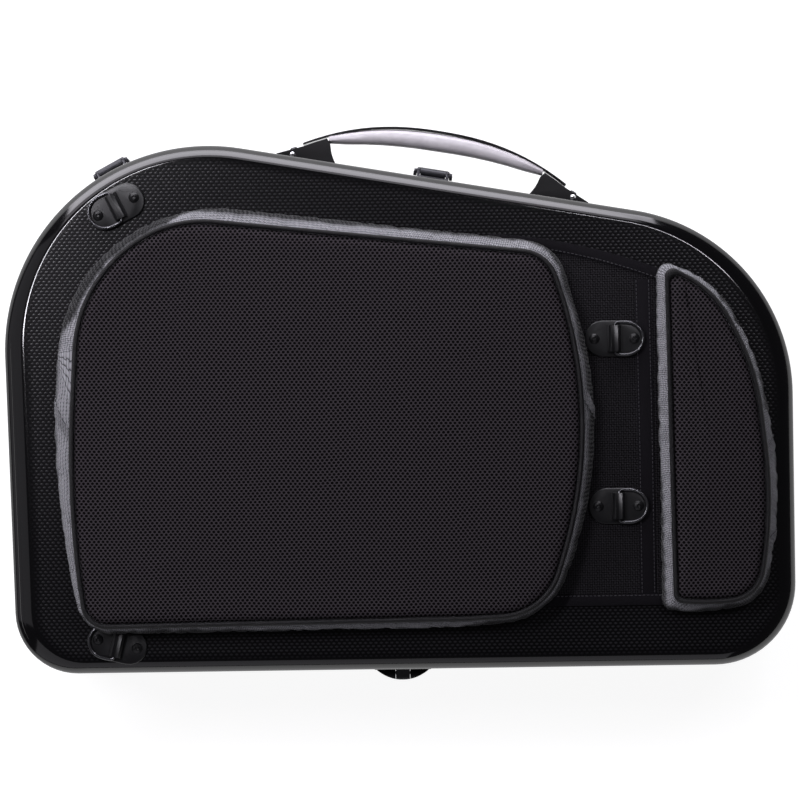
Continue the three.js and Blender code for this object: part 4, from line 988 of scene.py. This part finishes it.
# Floor, light and camera. The case lies on its front half on white paper, and the camera looks
# straight down on it. Lamps stand past each edge, and two strips draw the highlights along the
# broken edge at the shoulders.
bpy.ops.mesh.primitive_plane_add(size=8.0, location=(0, 0, -0.0005))
floor = bpy.context.object
floor.name = "floor"
paper = bpy.data.materials.new("White paper")
paper.use_nodes = True
tree = paper.node_tree
tree.nodes.clear()
seen = tree.nodes.new("ShaderNodeLightPath")
lit = tree.nodes.new("ShaderNodeBsdfDiffuse")
lit.inputs["Color"].default_value = (0.80, 0.80, 0.80, 1)
pale = tree.nodes.new("ShaderNodeBsdfDiffuse")
pale.inputs["Color"].default_value = (0.30, 0.30, 0.30, 1)
glow = tree.nodes.new("ShaderNodeEmission")
glow.inputs["Color"].default_value = (1, 1, 1, 1)
glow.inputs["Strength"].default_value = 0.90
both = tree.nodes.new("ShaderNodeAddShader")
tree.links.new(pale.outputs[0], both.inputs[0])
tree.links.new(glow.outputs[0], both.inputs[1])
pick = tree.nodes.new("ShaderNodeMixShader")
shows = math_node(tree, "MAXIMUM", seen.outputs["Is Camera Ray"], seen.outputs["Is Glossy Ray"])
shows = math_node(tree, "MAXIMUM", shows, seen.outputs["Is Transmission Ray"])
tree.links.new(shows, pick.inputs["Fac"])
tree.links.new(lit.outputs[0], pick.inputs[1])
tree.links.new(both.outputs[0], pick.inputs[2])
surface = tree.nodes.new("ShaderNodeOutputMaterial")
tree.links.new(pick.outputs[0], surface.inputs["Surface"])
floor.data.materials.append(paper)


def soft_lamp(name, place, aim, width, height, power):
    lamp = bpy.data.lights.new(name, "AREA")
    lamp.shape = "RECTANGLE"
    lamp.size = width
    lamp.size_y = height
    lamp.energy = power
    lamp.color = (0.95, 0.93, 1.0)
    stand = new_object(name, lamp)
    stand.location = place
    stand.rotation_euler = (Vector(aim) - Vector(place)).to_track_quat("-Z", "Y").to_euler()


soft_lamp("Softbox past the handle edge", (-0.45, 1.55, 0.8), (-0.1, 0, 0.15), 2.2, 1.3, 18)
soft_lamp("White card past the handle edge", (-0.35, 1.5, 0.42), (-0.1, 0, 0.15), 2.3, 0.80, 33)
soft_lamp("Softbox before the hinge edge", (-0.5, -1.6, 0.85), (-0.1, 0, 0.15), 2.6, 1.4, 6)
soft_lamp("Softbox by the left end", (-1.5, 0.2, 0.8), (-0.2, 0, 0.15), 1.4, 1.2, 2)
soft_lamp("Strip over the left shoulder", (-0.665, 0.428, 1.575), (-0.28, 0.12, 0.2), 0.85, 0.11, 17)
soft_lamp("Strip over the right shoulder", (0.75, 0.96, 2.7), (0.2, 0.1, 0.2), 0.85, 0.12, 16)

world = bpy.data.worlds.new("Studio")
bpy.context.scene.world = world
world.use_nodes = True
tree = world.node_tree
room = tree.nodes["Background"]
room.inputs["Color"].default_value = (0.60, 0.59, 0.64, 1)
room.inputs["Strength"].default_value = 0.10
backdrop = tree.nodes.new("ShaderNodeBackground")
backdrop.inputs["Color"].default_value = (1, 1, 1, 1)
backdrop.inputs["Strength"].default_value = 1.0
ray = tree.nodes.new("ShaderNodeLightPath")
either = tree.nodes.new("ShaderNodeMixShader")
tree.links.new(ray.outputs["Is Camera Ray"], either.inputs["Fac"])
tree.links.new(room.outputs[0], either.inputs[1])
tree.links.new(backdrop.outputs[0], either.inputs[2])
tree.links.new(either.outputs[0], tree.nodes["World Output"].inputs["Surface"])

camera_data = bpy.data.cameras.new("Camera")
camera_data.lens = 168.75
camera_data.sensor_width = 36.0
camera_data.clip_end = 20.0
CAMERA_DISTANCE = 3.0
FOCUS_Z = 0.187
CAMERA_ROLL = -0.8
camera = new_object("Camera", camera_data)
camera.location = (0.0007, 0.2152 + HINGE_EDGE_Y, FOCUS_Z + CAMERA_DISTANCE)
camera.rotation_euler = (0, 0, math.radians(CAMERA_ROLL))
bpy.context.scene.camera = camera
bpy.context.scene.view_settings.view_transform = "Standard"
